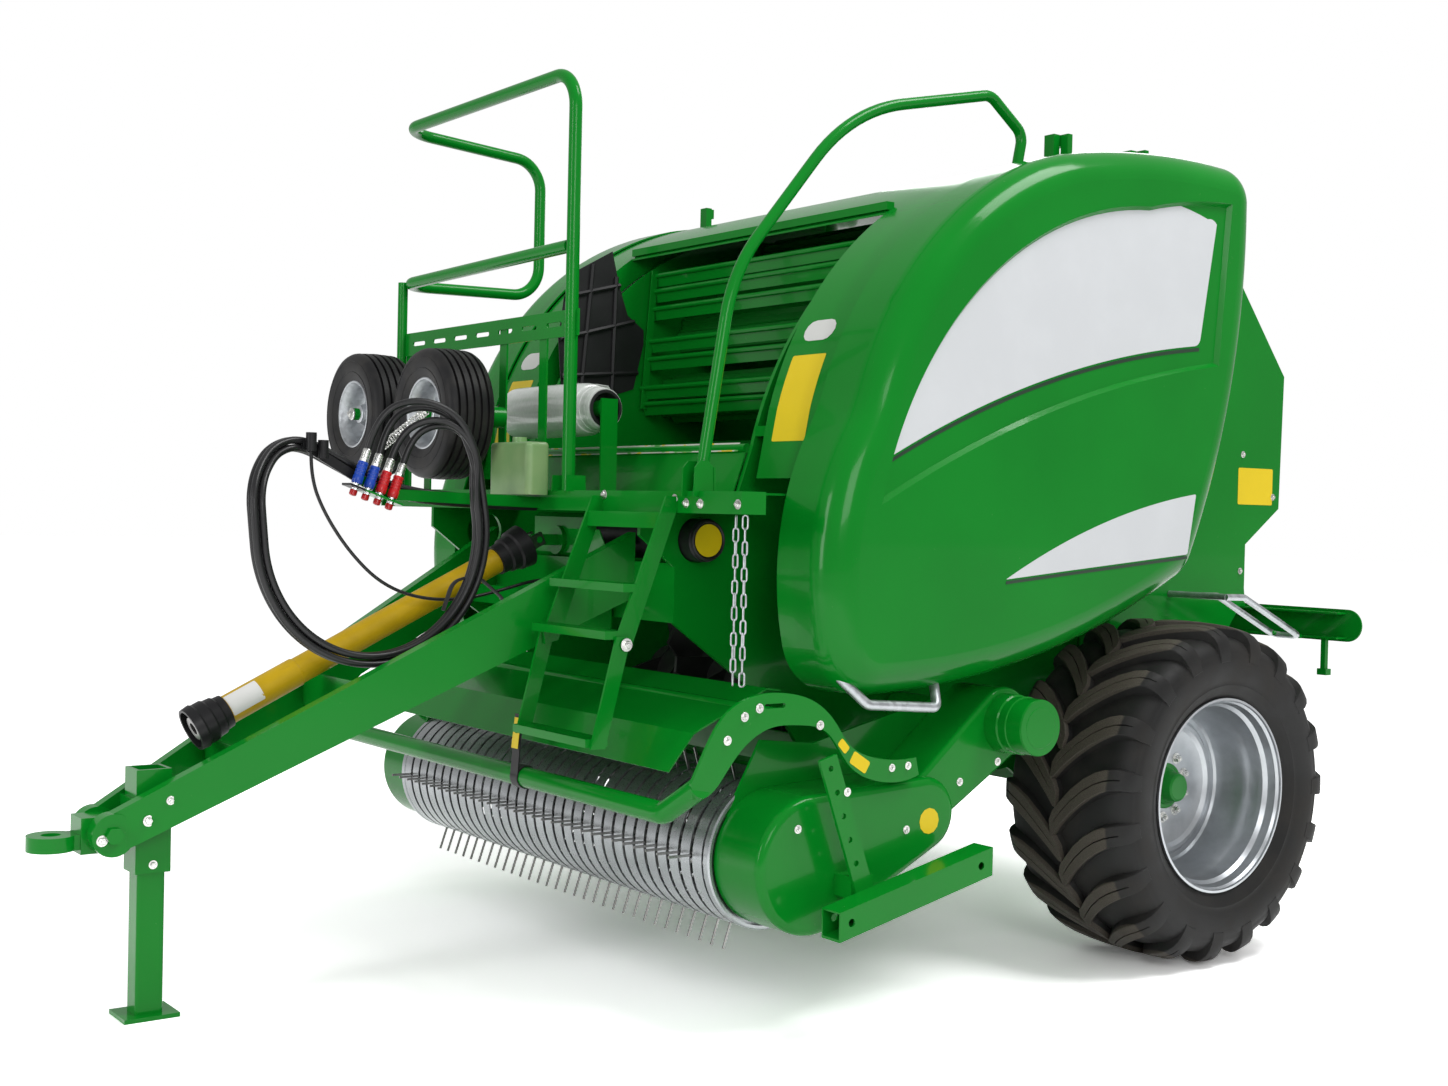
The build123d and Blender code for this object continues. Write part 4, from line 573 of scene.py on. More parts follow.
class Shape:
    """Faces gathered for one piece, in metres, in the frame of the CAD."""

    def __init__(self):
        self.points, self.faces, self.slots = [], [], []

    def add(self, points, faces, slot):
        """Adds points and the faces that count from the first of them."""
        start = len(self.points)
        self.points += [Vector(p) for p in points]
        self.faces += [[start + corner for corner in face] for face in faces]
        self.slots += [slot] * len(faces)

    def bridge(self, rings, slot=0, closed=False, caps=True):
        """Skins rings of equal numbers of points; each ring is a closed loop."""
        count = len(rings[0])
        faces = []
        for ring in range(len(rings) if closed else len(rings) - 1):
            after = (ring + 1) % len(rings)
            for place in range(count):
                beside = (place + 1) % count
                faces.append([ring * count + place, ring * count + beside,
                              after * count + beside, after * count + place])
        if caps and not closed:
            faces.append(list(range(count))[::-1])
            faces.append([(len(rings) - 1) * count + place for place in range(count)])
        self.add([point for ring in rings for point in ring], faces, slot)

    def lathe(self, profile, centre, axis, steps=32, slot=0, closed=False):
        """Turns (along, radius) pairs about an axis."""
        axis = Vector(axis).normalized()
        u, v = upright(axis)
        rings = []
        for along, radius in profile:
            rings.append([centre + axis * along + radius * (u * math.cos(turn) + v * math.sin(turn))
                          for turn in (math.tau * step / steps for step in range(steps))])
        self.bridge(rings, slot, closed)

    def rod(self, route, radius, sides, closed=False, flat=1.0):
        """A round bar along a route; flat squashes it square to its first side direction."""
        route = [Vector(p) for p in route]
        rings, side = [], None
        for index, point in enumerate(route):
            before = route[index - 1] if index or closed else point
            after = route[(index + 1) % len(route)] if index < len(route) - 1 or closed else point
            along = (after - before).normalized()
            if side is None:
                side = upright(along)[0]
            side = (side - along * side.dot(along)).normalized()
            across = along.cross(side)
            rings.append([point + radius * (side * math.cos(turn) + across * flat * math.sin(turn))
                          for turn in (math.tau * step / sides for step in range(sides))])
        self.bridge(rings, closed=closed)

    def plate(self, outline, thickness, slot=0):
        """A flat plate: outline points in 3D, thickness a vector."""
        count = len(outline)
        thickness = Vector(thickness)
        points = list(outline) + [p + thickness for p in outline]
        faces = [list(range(count))[::-1], [count + i for i in range(count)]]
        faces += [[i, (i + 1) % count, count + (i + 1) % count, count + i] for i in range(count)]
        self.add(points, faces, slot)

    def bolt(self, place, direction, size, length, slot=0):
        """A hexagon head with a chamfered crown on a washer; size is its radius."""
        self.lathe([(-0.001, 0), (-0.001, size * 1.5), (0.0015, size * 1.5), (0.0018, size * 1.45),
                    (0.0018, 0)], place, direction, 20, slot)
        self.lathe([(0.0015, 0), (0.0015, size), (length * 0.8, size), (length, size * 0.86),
                    (length, 0)], place, direction, 6, slot)
        self.lathe([(length, 0), (length, size * 0.5), (length * 1.35, size * 0.5),
                    (length * 1.4, size * 0.42), (length * 1.4, 0)], place, direction, 12, slot)

    def piece(self, name, body, *names, slot=None, sharp=34, replaces=(), solid=True):
        """Makes the mesh object, gives it its finishes and lets it ride on a body."""
        mesh = bpy.data.meshes.new(name)
        mesh.from_pydata(self.points, [], self.faces)
        mesh.validate()
        for material in names:
            mesh.materials.append(finish_named(material))
        mesh.polygons.foreach_set("material_index", self.slots[:len(mesh.polygons)])
        mesh.shade_smooth()
        mesh.set_sharp_from_angle(angle=math.radians(sharp))
        if solid:
            face_outwards(mesh)
        made = bpy.data.objects.new(name, mesh)
        bpy.context.scene.collection.objects.link(made)
        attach(made, body)
        if replaces:
            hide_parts(*replaces)
        return made


def face_outwards(mesh):
    """Joins the doubled points of a closed mesh and turns all its faces outwards."""
    work = bmesh.new()
    work.from_mesh(mesh)
    bmesh.ops.remove_doubles(work, verts=work.verts, dist=1e-6)
    bmesh.ops.recalc_face_normals(work, faces=work.faces)
    work.to_mesh(mesh)
    work.free()


STICKER_LIFT = 0.0007
STICKER_RINGS = 10
STICKER_REACH = 0.15


def sticker(shape, node, centre, normal, up, width, height, slot=0, corner=0.006):
    """A thin blank sheet laid onto a CAD node's surface, which it follows."""
    normal, up = Vector(normal).normalized(), Vector(up).normalized()
    across = up.cross(normal).normalized()
    up = normal.cross(across).normalized()
    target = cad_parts[node]
    outline = []
    for sx, sy, start in ((1, 1, 0), (-1, 1, 90), (-1, -1, 180), (1, -1, 270)):
        for step in range(4):
            turn = math.radians(start + step * 30)
            outline.append(Vector((sx * (width / 2 - corner) + corner * math.cos(turn),
                                   sy * (height / 2 - corner) + corner * math.sin(turn))))
    edge = []
    for here, following in zip(outline, outline[1:] + outline[:1]):
        parts = max(1, math.ceil((following - here).length / 0.012))
        edge += [here.lerp(following, part / parts) for part in range(parts)]
    rings = []
    for share in (1 - ring / STICKER_RINGS for ring in range(STICKER_RINGS)):
        ring = []
        for u, v in edge:
            place = centre + across * u * share + up * v * share
            hit, where, _, _ = target.ray_cast(place + normal * STICKER_REACH, -normal)
            ring.append((where if hit else place) + normal * STICKER_LIFT)
        rings.append(ring)
    shape.bridge(rings, slot, caps=False)
    last = len(shape.points) - len(edge)
    shape.faces.append([last + i for i in range(len(edge))])
    shape.slots.append(slot)


# ---- tyres ----

# Outlines of the tyre's half in millimetres: (distance from its middle, radius).
CARCASS = ((0, 508), (60, 507.5), (120, 505), (165, 501), (195, 495), (217, 485), (233, 471),
           (241, 458), (243.5, 452), (243.5, 446), (246, 440), (247.5, 425), (247.2, 405), (244, 384),
           (240, 366), (236.5, 356), (237, 350), (233, 342), (226, 328), (217, 317), (212, 311),
           (210.5, 306), (206, 299), (196, 299))
LINING = ((190, 299), (205, 330), (222, 400), (210, 460), (165, 485), (0, 490))
CROWN = ((-14, 541.5), (0, 541.5), (30, 541.2), (70, 540.5), (115, 538.8), (155, 536), (186, 530.5),
         (210, 520), (229, 505), (241, 486), (246.8, 466), (248.4, 450), (248.6, 434))
# Where a lug's sweep ends, where its foot leaves the carcass and where it is drawn in.
SWEEP_END, FOOT_END, DRAWN_IN = 229, 215, 225
LUG_WIDENING = {0: 0.8, 1: 1.12, len(CROWN) - 2: 0.9, len(CROWN) - 1: 0.9}
LUG_LEAN, LUG_FLARE, LUG_BEVEL, LUG_WEAR = 0.010, 0.0012, 0.0018, 0.0022
GROOVE_HALF, GROOVE_DEPTH, GROOVED = 0.0026, 0.009, range(2, 8)
TREAD_RADIUS = 0.54


def mirrored(half):
    """A half outline and its mirror image, joined where it starts in the middle."""
    return [(-x, r) for x, r in reversed(half)] + list(half[1:])


def height_at(profile, x):
    """The radius of a profile of (x, radius) pairs at x, up to its widest place."""
    for (x0, r0), (x1, r1) in zip(profile, profile[1:]):
        if x0 <= x <= x1:
            return r0 + (r1 - r0) * (x - x0) / max(x1 - x0, 1e-6)
    return profile[-1][1]


def lug_section(place, lug_width):
    """A lug's section at one place of CROWN: (width round the tyre, radius, distance drawn in)."""
    x, crown = CROWN[place]
    share = min(1.0, (x - CROWN[0][0]) / (SWEEP_END - CROWN[0][0]))
    reach = crown / 1000
    foot = min(height_at(CARCASS, abs(x)) / 1000, reach) - 0.006 if x <= FOOT_END else reach - 0.03
    width = lug_width * (0.9 + 0.16 * math.sin(math.pi * min(1, share * 1.1)))
    side = width * LUG_WIDENING.get(place, 1) / 2
    if place == len(CROWN) - 1:
        reach = foot + 0.024
    groove = GROOVE_DEPTH if place in GROOVED else 0
    drawn_in = 0.02 if x > DRAWN_IN else 0
    half = ((side + LUG_LEAN, foot, drawn_in), (side + LUG_FLARE, reach - LUG_WEAR, 0),
            (side - LUG_BEVEL, reach, 0), (GROOVE_HALF, reach, 0))
    return share, [(-width, *rest) for width, *rest in half] + [(0, reach - groove, 0), *half[::-1]]


def tyre_shape(middle, settings):
    """A tyre with curved lugs about the axle; middle is its own middle along the axle."""
    shape = Shape()
    centre = Vector((middle, AXLE_Y, AXLE_Z))
    lining = [(-x, r) for x, r in reversed(LINING[:-1])]
    shape.lathe(metres(mirrored(CARCASS) + list(LINING) + lining), centre, (1, 0, 0), 128, closed=True)
    sections = [lug_section(place, settings.lug_width) for place in range(len(CROWN))]
    for tread_side, offset in ((1, 0.5), (-1, 0)):
        for lug in range(settings.lugs):
            start = math.tau * (lug + offset) / settings.lugs
            rings = []
            for (x, _), (share, section) in zip(CROWN, sections):
                turn = start + settings.sweep * (1 - (1 - share) ** 1.7)
                ring = []
                for across, radius, drawn_in in section:
                    angle = turn + across / TREAD_RADIUS
                    ring.append(centre + Vector((tread_side * (x / 1000 - drawn_in),
                                                 -radius * math.cos(angle), radius * math.sin(angle))))
                rings.append(ring)
            shape.bridge(rings)
    return shape


class BALER_OT_tyres(bpy.types.Operator):
    """Builds the two tyres with their curved tread lugs"""
    bl_idname = "baler.tyres"
    bl_label = "Tyres"

    def execute(self, context):
        for name, _ in SIDES:
            low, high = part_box("tyre_" + name)
            tyre_shape((low.x + high.x) / 2, context.scene.baler_tyre).piece(
                "tread_tyre_" + name, name + "_wheel", "tyre_rubber", slot="tyre",
                replaces=("tyre_" + name,), sharp=28)
        return {"FINISHED"}


# ---- rims ----

# Closed outlines of the rim and of the hub in millimetres: (distance outwards, radius).
RIM = ((220.5, 307.5), (221, 300), (214, 298.6), (206, 292), (188, 289), (180, 287), (168, 277),
       (150, 273), (132, 272), (118, 266), (98, 260), (60, 256), (20, 253), (4, 250), (-4, 244),
       (-4, 228), (4, 216), (4, 204), (-6, 192), (-12, 168), (-13, 140), (-13, 70), (-27, 70),
       (-27, 140), (-26, 172), (-18, 200), (-14, 216), (-18, 240), (-40, 254), (-95, 262),
       (-120, 288), (-190, 290), (-221, 300), (-220.5, 307.5), (-212, 307.5), (-205, 298),
       (-125, 298), (-100, 270), (100, 270), (125, 298), (205, 298), (212, 307.5))
HUB = ((-195, 46), (-195, 60), (-60, 70), (-27, 73), (-27, 74), (-2, 74), (1, 71), (1, 60), (8, 56),
       (14, 50), (40, 47), (48, 44), (52, 37), (53, 0), (23, 0), (23, 46))
WHEEL_NUTS = 10
NUT_CIRCLE = 0.104


class BALER_OT_rims(bpy.types.Operator):
    """Builds the stepped silver rims with their wheel nuts and green hubs"""
    bl_idname = "baler.rims"
    bl_label = "Rims"

    def execute(self, context):
        for name, side in SIDES:
            low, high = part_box("tyre_" + name)
            centre = Vector(((low.x + high.x) / 2, AXLE_Y, AXLE_Z))
            rim = Shape()
            for profile in (RIM, HUB):
                rim.lathe(metres(profile), centre, (side, 0, 0), 96, closed=True)
            for nut in range(WHEEL_NUTS):
                turn = math.tau * (nut + 0.5) / WHEEL_NUTS
                place = centre + Vector((side * -0.0128, NUT_CIRCLE * math.cos(turn),
                                         NUT_CIRCLE * math.sin(turn)))
                rim.bolt(place, (side, 0, 0), 0.0125, 0.014, slot=1)
            rim.piece("rim_" + name, name + "_wheel", "wheel_paint", "zinc", slot="silver", sharp=24,
                      replaces=("wheel_" + name,))
        return {"FINISHED"}


# ---- doors ----

# Places on a door as (y, z) in millimetres, and how far out its two faces stand along x.
NOSE, MIDDLE, TAIL = (-1379, 1550), (-680, 1832), (-61, 1959)
WEDGE_LOW = ((-914, 1225), (-640, 1251), (-370, 1276), (-110, 1300))
PANEL_FACE, WEDGE_FACE = 1156.2, 1170.2
HANDLE = ((1085, -1500, 985), (1145, -1410, 885), (1145, -1150, 865), (1085, -1115, 960))


def panel_outline():
    """The pale panel in the door's recess."""
    top = arc(NOSE, (-1100, 2060), (-36, 2361), 40)
    corner = arc((-36, 2361), (-13, 2362), (9, 2349), 4)
    rear = [Vector((9, 2349)), Vector((-26, 2154)), Vector(TAIL)]
    return rounded_loop([top, corner, rear, arc(TAIL, MIDDLE, NOSE, 40)], [0, 0, 26, 6])


def wedge_outline():
    """The pale wedge under the door's recess."""
    rear = [Vector((-75, 1490)), Vector((-92, 1395)), Vector((-110, 1300))]
    low = [Vector(place) for place in reversed(WEDGE_LOW)]
    return rounded_loop([arc((-914, 1225), (-480, 1400), (-75, 1490), 24), rear, low], [8, 8, 3])


def strip_under(line, start, depth):
    """A narrow strip from start to start + depth below a run of points."""
    return [(y, z - start) for y, z in line] + [(y, z - start - depth) for y, z in reversed(line)]


class BALER_OT_door_panels(bpy.types.Operator):
    """Lays the pale panels on the doors, with dark strips of painted shadow under their lower edges, and
    covers the handles in bright tube
    """
    bl_idname = "baler.door_panels"
    bl_label = "Door panels"

    def execute(self, context):
        pale_sheets = ((panel_outline(), PANEL_FACE), (wedge_outline(), WEDGE_FACE))
        # The dark strips are painted shadow, a dark sheet just below the lower edge of each pale panel
        # and wedge.
        painted_shadow_strips = ((strip_under(arc(NOSE, MIDDLE, TAIL, 40), 6, 11), PANEL_FACE),
                       (strip_under(WEDGE_LOW, 5, 9), WEDGE_FACE))
        for name, side in SIDES:
            door = "door_" + name
            for piece, sheets, thickness, finish in (
                    ("door_panel_", pale_sheets, 0.0012, "panel_white"),
                    ("door_edges_", painted_shadow_strips, 0.0009, "panel_edge")):
                sheet = Shape()
                for outline, x in sheets:
                    sheet.plate(across_x(outline, side * x), (side * thickness, 0, 0))
                sheet.piece(piece + name, door, finish)
            handle = Shape()
            handle.rod(bent_route(places(HANDLE, side), 0.028, 8), 0.0145, 16)
            handle.piece("door_handle_" + name, door, "galvanised")
        return {"FINISHED"}


# ---- stored wheels and wrap roll ----

GAUGE_PLACES = ((-218, 1687), (-730, 1700))
# Outlines in millimetres, as (distance to the rear, radius).
GAUGE_SHOULDER = ((-58, 104), (-66, 108), (-75, 124), (-80.5, 146), (-82.2, 168), (-80, 184),
                  (-74, 195), (-64, 201))
GAUGE_RIM = ((-66, 112), (-69, 112), (-70.5, 109), (-69, 105), (-62, 102), (-56, 96), (-30, 92),
             (-6, 88), (4, 80), (6, 66), (2, 52), (-6, 44), (-10, 38), (-34, 34), (-40, 30),
             (-46, 29), (-50, 24), (-50, 0), (50, 0), (50, 24), (30, 34), (12, 50), (14, 80),
             (56, 96), (62, 102), (69, 105), (70.5, 109), (69, 112), (66, 112), (58, 104), (0, 98),
             (-58, 104))
GAUGE_BEADS = ((80.6, 140), (82.2, 176))
ROLL_FILM = ((-496, 52), (-500, 56), (-500, 80), (-492, 86), (-300, 87.5), (-120, 86.5), (-60, 84),
             (-40, 79), (-36, 78), (-34, 74), (-10, 72), (-8, 70), (14, 69.5), (18, 68), (22, 66),
             (30, 65.5), (34, 63), (34, 56), (30, 52))
ROLL_CORE = ((-506, 30.5), (-506, 38), (-500, 40), (-498, 56), (28, 56), (38, 60), (40, 58),
             (40, 50), (22, 44), (8, 40), (6, 30.5))
ROLL_SHAFT = ((-507, 0), (-507, 20), (-500, 28), (6, 28), (12, 24), (14, 17), (30, 14), (33, 10),
              (33, 0))
# The loose end of the film: (place along the roll in millimetres, turn round it).
FILM_END = ((-230, 1.25), (-150, 1.45), (-70, 1.2), (-24, 1.02), (-30, 0.86), (-120, 0.8),
            (-220, 0.9))


def gauge_tread():
    """The small tyre's outline with its five grooves, closed on its inside."""
    crowns = []
    for middle in (-50, -25, 0, 25, 50):
        crown = 205 - abs(middle) * 0.045
        crowns += [(middle - 4.5, crown), (middle - 3.6, crown - 9), (middle + 3.6, crown - 9),
                   (middle + 4.5, crown)]
    return [*GAUGE_SHOULDER, *crowns, *((-along, radius) for along, radius in GAUGE_SHOULDER[::-1]),
            (56, 100), (-56, 100)]


class BALER_OT_gauge_wheels(bpy.types.Operator):
    """Builds the two stored gauge wheels: grooved tyres on pressed silver rims"""
    bl_idname = "baler.gauge_wheels"
    bl_label = "Gauge wheels"

    def execute(self, context):
        for number, (x, z) in enumerate(GAUGE_PLACES, 1):
            centre, axis = at(x, -2000, z), (0, 1, 0)
            body, node = f"gauge_{number}", (f"gauge_wheel_{number}",)
            tyre = Shape()
            tyre.lathe(metres(gauge_tread()), centre, axis, 72, closed=True)
            for side in (-1, 1):
                for along, radius in GAUGE_BEADS:
                    bead = ((side * (along - 2), radius - 1.6), (side * (along + 0.2), radius),
                            (side * (along - 2), radius + 1.6))
                    tyre.lathe(metres(bead), centre, axis, 72, closed=True)
            tyre.piece(f"gauge_tyre_{number}", body, "small_tyre", slot="rubber", sharp=40,
                       replaces=node)
            rim = Shape()
            rim.lathe(metres(GAUGE_RIM), centre, axis, 56, closed=True)
            for bolt in range(5):
                turn = math.tau * bolt / 5 + 0.3
                place = centre + Vector((0.059 * math.cos(turn), 0.002, 0.059 * math.sin(turn)))
                rim.bolt(place, (0, -1, 0), 0.0085, 0.008, slot=1)
            rim.piece(f"gauge_rim_{number}", body, "galvanised", "zinc", slot="silver", sharp=40,
                      replaces=node)
        return {"FINISHED"}


class BALER_OT_wrap_roll(bpy.types.Operator):
    """Builds the roll of film with its black core, its shaft and its loose end"""
    bl_idname = "baler.wrap_roll"
    bl_label = "Wrap roll"

    def execute(self, context):
        centre, axis = at(0, -1560, 1720), (1, 0, 0)
        roll = Shape()
        roll.lathe(metres(ROLL_FILM), centre, axis, 56, 0, closed=True)
        roll.lathe(metres(ROLL_CORE), centre, axis, 48, 1, closed=True)
        roll.lathe(metres(ROLL_SHAFT), centre, axis, 32, 2)
        roll.plate([centre + Vector((x / 1000, 0.0885 * math.cos(turn), 0.0885 * math.sin(turn)))
                    for x, turn in FILM_END], (0, 0.0006, 0.0012))
        roll.piece("film_roll", "chassis", "film", "black_plastic", "zinc", slot="film", sharp=30,
                   replaces=("wrap_roll",))
        return {"FINISHED"}


# ---- chains, loops, bolts and stickers ----

class BALER_OT_chains(bpy.types.Operator):
    """Hangs two lengths of long-link chain from the platform's end"""
    bl_idname = "baler.chains"
    bl_label = "Chains"

    def execute(self, context):
        inside = context.scene.baler_hose.chain_link
        wire, half = 0.0026, 0.0068
        chain = Shape()
        for strand, x in enumerate((1020, 1060)):
            top, low = at(x, -1776, 1394.5), at(x, -1776, 940)
            hanging = top.z - low.z - 2 * wire
            count = int(hanging / inside)
            pitch = hanging / count
            for link in range(count):
                middle = top.z - wire - pitch * (link + 0.5)
                turn = (math.radians(38 if (link + strand) % 2 else -46)
                        + 0.25 * math.sin(link * 1.7 + strand))
                across = Vector((math.cos(turn), math.sin(turn), 0))
                straight = pitch / 2 - half + 0.0012
                loop = []
                for end, start in ((1, 0), (-1, math.pi)):
                    for step in range(7):
                        bend = math.pi * step / 6 + start
                        loop.append(Vector((x / 1000, top.y, middle)) + across * half * math.cos(bend)
                                    + Vector((0, 0, end * straight + half * math.sin(bend))))
                chain.rod(loop, wire, 8, closed=True)
        chain.piece("chain_links", "chassis", "galvanised", slot="galvanised", replaces=("chains",))
        return {"FINISHED"}


class BALER_OT_tie_loops(bpy.types.Operator):
    """Sleeves the rod loops over the tyres in bright zinc"""
    bl_idname = "baler.tie_loops"
    bl_label = "Tie loops"

    def execute(self, context):
        bent = ((890, 310, 1152), (890, 410, 1150), (890, 728, 1010), (1000, 728, 1010),
                (1000, 410, 1150), (1000, 310, 1152))
        straight = ((763, 312, 1152), (1003, 312, 1152))
        for name, side in SIDES:
            loop = Shape()
            loop.rod(bent_route(places(bent, side), 0.034), 0.0112, 14)
            loop.rod(places(straight, side), 0.0112, 14)
            loop.piece("tie_loop_" + name, "tailgate", "galvanised", slot="galvanised")
        return {"FINISHED"}


# Bolts set on both sides by a line from outside: the piece they belong to, the CAD node (with its
# side's name added after a _), the line's start along x, the head's radius, and each (y, z).
SEATED_BOLTS = (
    ("frame", "drawbar", 300, 0.010, ((-3131, 503), (-2925, 483), (-3014, 548))),
    ("frame", "drawbar", 300, 0.008, ((-2980, 418), (-2960, 600))),
    ("pickup", "crop_guard", 1250, 0.0085, ((-1777, 893), (-1825, 873), (-1879, 815), (-1571, 838))),
    ("pickup", "crop_guard", 1250, 0.0075, ((-1250, 708), (-1310, 706))),
    ("pickup", "pickup_end_", 1300, 0.008, ((-1232, 525), (-1623, 561), (-1522, 664), (-1526, 690),
                                            (-858, 688), (-1010, 640))),
    ("tailgate", "tailgate_", 1100, 0.008, ((340, 1700), (340, 1960), (700, 1230), (880, 1500),
                                            (700, 1650))),
)
# Bolts on the front face of the platform's beam, as (x, z).
BEAM_BOLTS = ((798, 1433), (852, 1422), (918, 1421), (1085, 1421), (443, 1443), (-700, 1424),
              (-420, 1424), (-60, 1424))
BOLT_BODIES = {"frame": "chassis", "pickup": "pickup", "tailgate": "tailgate", "ladder": "chassis"}


class BALER_OT_fasteners(bpy.types.Operator):
    """Sets the plated bolts that show on the frame, pick-up, tailgate and ladder"""
    bl_idname = "baler.fasteners"
    bl_label = "Bolts"

    def execute(self, context):
        shapes = {name: Shape() for name in BOLT_BODIES}
        forwards = (0, -1, 0)
        for x, z in BEAM_BOLTS:
            shapes["frame"].bolt(at(x, -1820.2, z), forwards, 0.009, 0.008)
        for x, z in GAUGE_PLACES:
            hit, where, _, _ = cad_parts["left_rack"].ray_cast(at(x, -2400, z), Vector((0, 1, 0)))
            if hit:
                shapes["frame"].lathe([(0, 0), (0, 0.021), (0.004, 0.021), (0.006, 0.019), (0.006, 0)],
                                      where, forwards, 32)
                shapes["frame"].bolt(where + Vector((0, -0.006, 0)), forwards, 0.011, 0.008)
        for name, side in SIDES:
            inwards = Vector((-side, 0, 0))
            for piece, node, start, size, spots in SEATED_BOLTS:
                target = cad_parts[node + name if node.endswith("_") else node]
                for y, z in spots:
                    hit, where, _, _ = target.ray_cast(at(side * start, y, z), inwards)
                    if hit:
                        shapes[piece].bolt(where, -inwards, size, size * 0.85)
        for x, side in ((416, -1), (824, 1)):
            shapes["ladder"].bolt(at(x, -1985, 1040), (side, 0, 0), 0.012, 0.010)
        for name, body in BOLT_BODIES.items():
            shapes[name].piece("bolts_" + name, body, "zinc", slot="steel", sharp=25)
        return {"FINISHED"}


class BALER_OT_stickers(bpy.types.Operator):
    """Lays the blank stickers, the coloured edge strips and the shaft's end disc on"""
    bl_idname = "baler.stickers"
    bl_label = "Stickers"

    def execute(self, context):
        self.stickers()
        self.edge_strips()
        self.end_disc()
        return {"FINISHED"}

    def stickers(self):
        """Blank stickers on the sheets and on the drive shaft's guard."""
        fixed, lifted, gate, guard = Shape(), Shape(), Shape(), Shape()
        for name, side in SIDES:
            outwards, upwards = (side, 0, 0), (0, 0, 1)
            sticker(fixed, "front_cover", at(side * 815, -1428, 1740), (0, -0.94, 0.34),
                    (0, 0.34, 0.94), 0.15, 0.262)
            sticker(fixed, "front_cover", at(side * 815, -1339, 1934), (0, -0.9, 0.44),
                    (0, 0.44, 0.9), 0.135, 0.07, slot=1, corner=0.0349)
            sticker(gate, "tailgate_" + name, at(side * 775, 776, 1536), outwards, upwards, 0.2, 0.132)
            for y, z, lean, width, height in ((-1487, 777, 0.8, 0.04, 0.024),
                                              (-1428, 729, 0.55, 0.068, 0.036)):
                sticker(lifted, "crop_guard", at(side * 1150, y, z), outwards,
                        (0, math.sin(lean), math.cos(lean)), width, height)
            sticker(lifted, "pickup_end_" + name, at(side * 1130, -1146, 542), outwards, upwards,
                    0.074, 0.074, corner=0.0369)
        sticker(guard, "pto_guard", at(0, -2716, 835), (0.8, -0.28, 0.55), (0, -0.9, -0.45), 0.06,
                0.1, slot=1, corner=0.003)
        for name, shape, body in (("frame", fixed, "chassis"), ("pickup", lifted, "pickup"),
                                  ("tailgate", gate, "tailgate"), ("shaft", guard, "pto")):
            shape.piece("stickers_" + name, body, "label", "label_white", solid=False)

    def edge_strips(self):
        """A small square label and the long blotched strip at the front cover."""
        strips = Shape()
        strips.plate(places(((-96, -1490.5, 1452), (-96, -1490.5, 1500), (-48, -1490.5, 1500),
                             (-48, -1490.5, 1452))), (0, -0.001, 0))
        strips.plate(places(((-590, -1451, 1580), (590, -1451, 1580), (590, -1442.42, 1606),
                             (-590, -1442.42, 1606))), (0, -0.0012, 0.0004), 1)
        strips.piece("edge_strips", "chassis", "label", "edge_strip")

    def end_disc(self):
        """The yellow disc with its black ring on the cross shaft's left end."""
        centre, axis = at(690, -1624, 1318), (1, 0, 0)
        disc = Shape()
        disc.lathe([(0, 0), (0, 0.047), (0.0015, 0.0465), (0.0018, 0)], centre, axis, 48)
        disc.lathe([(-0.004, 0.049), (0.001, 0.0505), (0.004, 0.0535), (0.002, 0.0575),
                    (-0.006, 0.0585)], centre, axis, 48, 1, closed=True)
        disc.piece("shaft_end_disc", "chassis", "label", "black_plastic")


# ---- fittings of the frame ----

# Outlines and lines of the fittings in millimetres; those of one x only are (y, z) pairs.
COVER = ((-1268, 2250), (-1126, 2330), (-1094, 2210), (-1055, 2106), (-984, 2058), (-983, 2007),
         (-1024, 1840), (-1150, 1800), (-1330, 1830), (-1345, 2000), (-1325, 2150))
COVER_X = -617.6
COVER_RIBS = ((-1318, 2150, -1094, 2210), (-1340, 2000, -1030, 2085), (-1330, 1870, -1010, 1900),
              (-1210, 2275, -1250, 1825), (-1110, 2240, -1120, 1815))
RAILS = ((-948, 2257), (-952, 2200), (-956, 2135), (-970, 2016), (-972, 1951), (-990, 1845),
         (-985, 1787))
RAIL_HALF = 612
FOOT = ((-1836, 1440), (-1770, 1440), (-1774, 1520), (-1790, 1536), (-1818, 1536), (-1834, 1518))
LOOP_FOOT = ((-1835, 1452), (-1765, 1452), (-1768, 1500), (-1832, 1500))
HOOK = ((-2180, 1096), (-2150, 1180), (-2075, 1200), (-1985, 1130), (-1950, 1010))
END_BAND = ((895, 120), (895, 207), (898, 210.5), (917, 210.5), (921.5, 206), (921.5, 198),
            (898, 198), (898, 120))
END_BAND_TURN = math.radians(118)
DRIVE_CAP = ((1140.4, 80.4), (1140.4, 87), (1146, 87), (1150, 83), (1172, 83), (1174, 85),
             (1180, 85), (1182, 82), (1236, 82), (1240.6, 79), (1240.8, 60), (1242, 58), (1242, 0),
             (1240.2, 0), (1240.2, 80.4))
SPRING_TURNS, SPRING_STEPS, SPRING_RADIUS = 20, 12, 0.0115


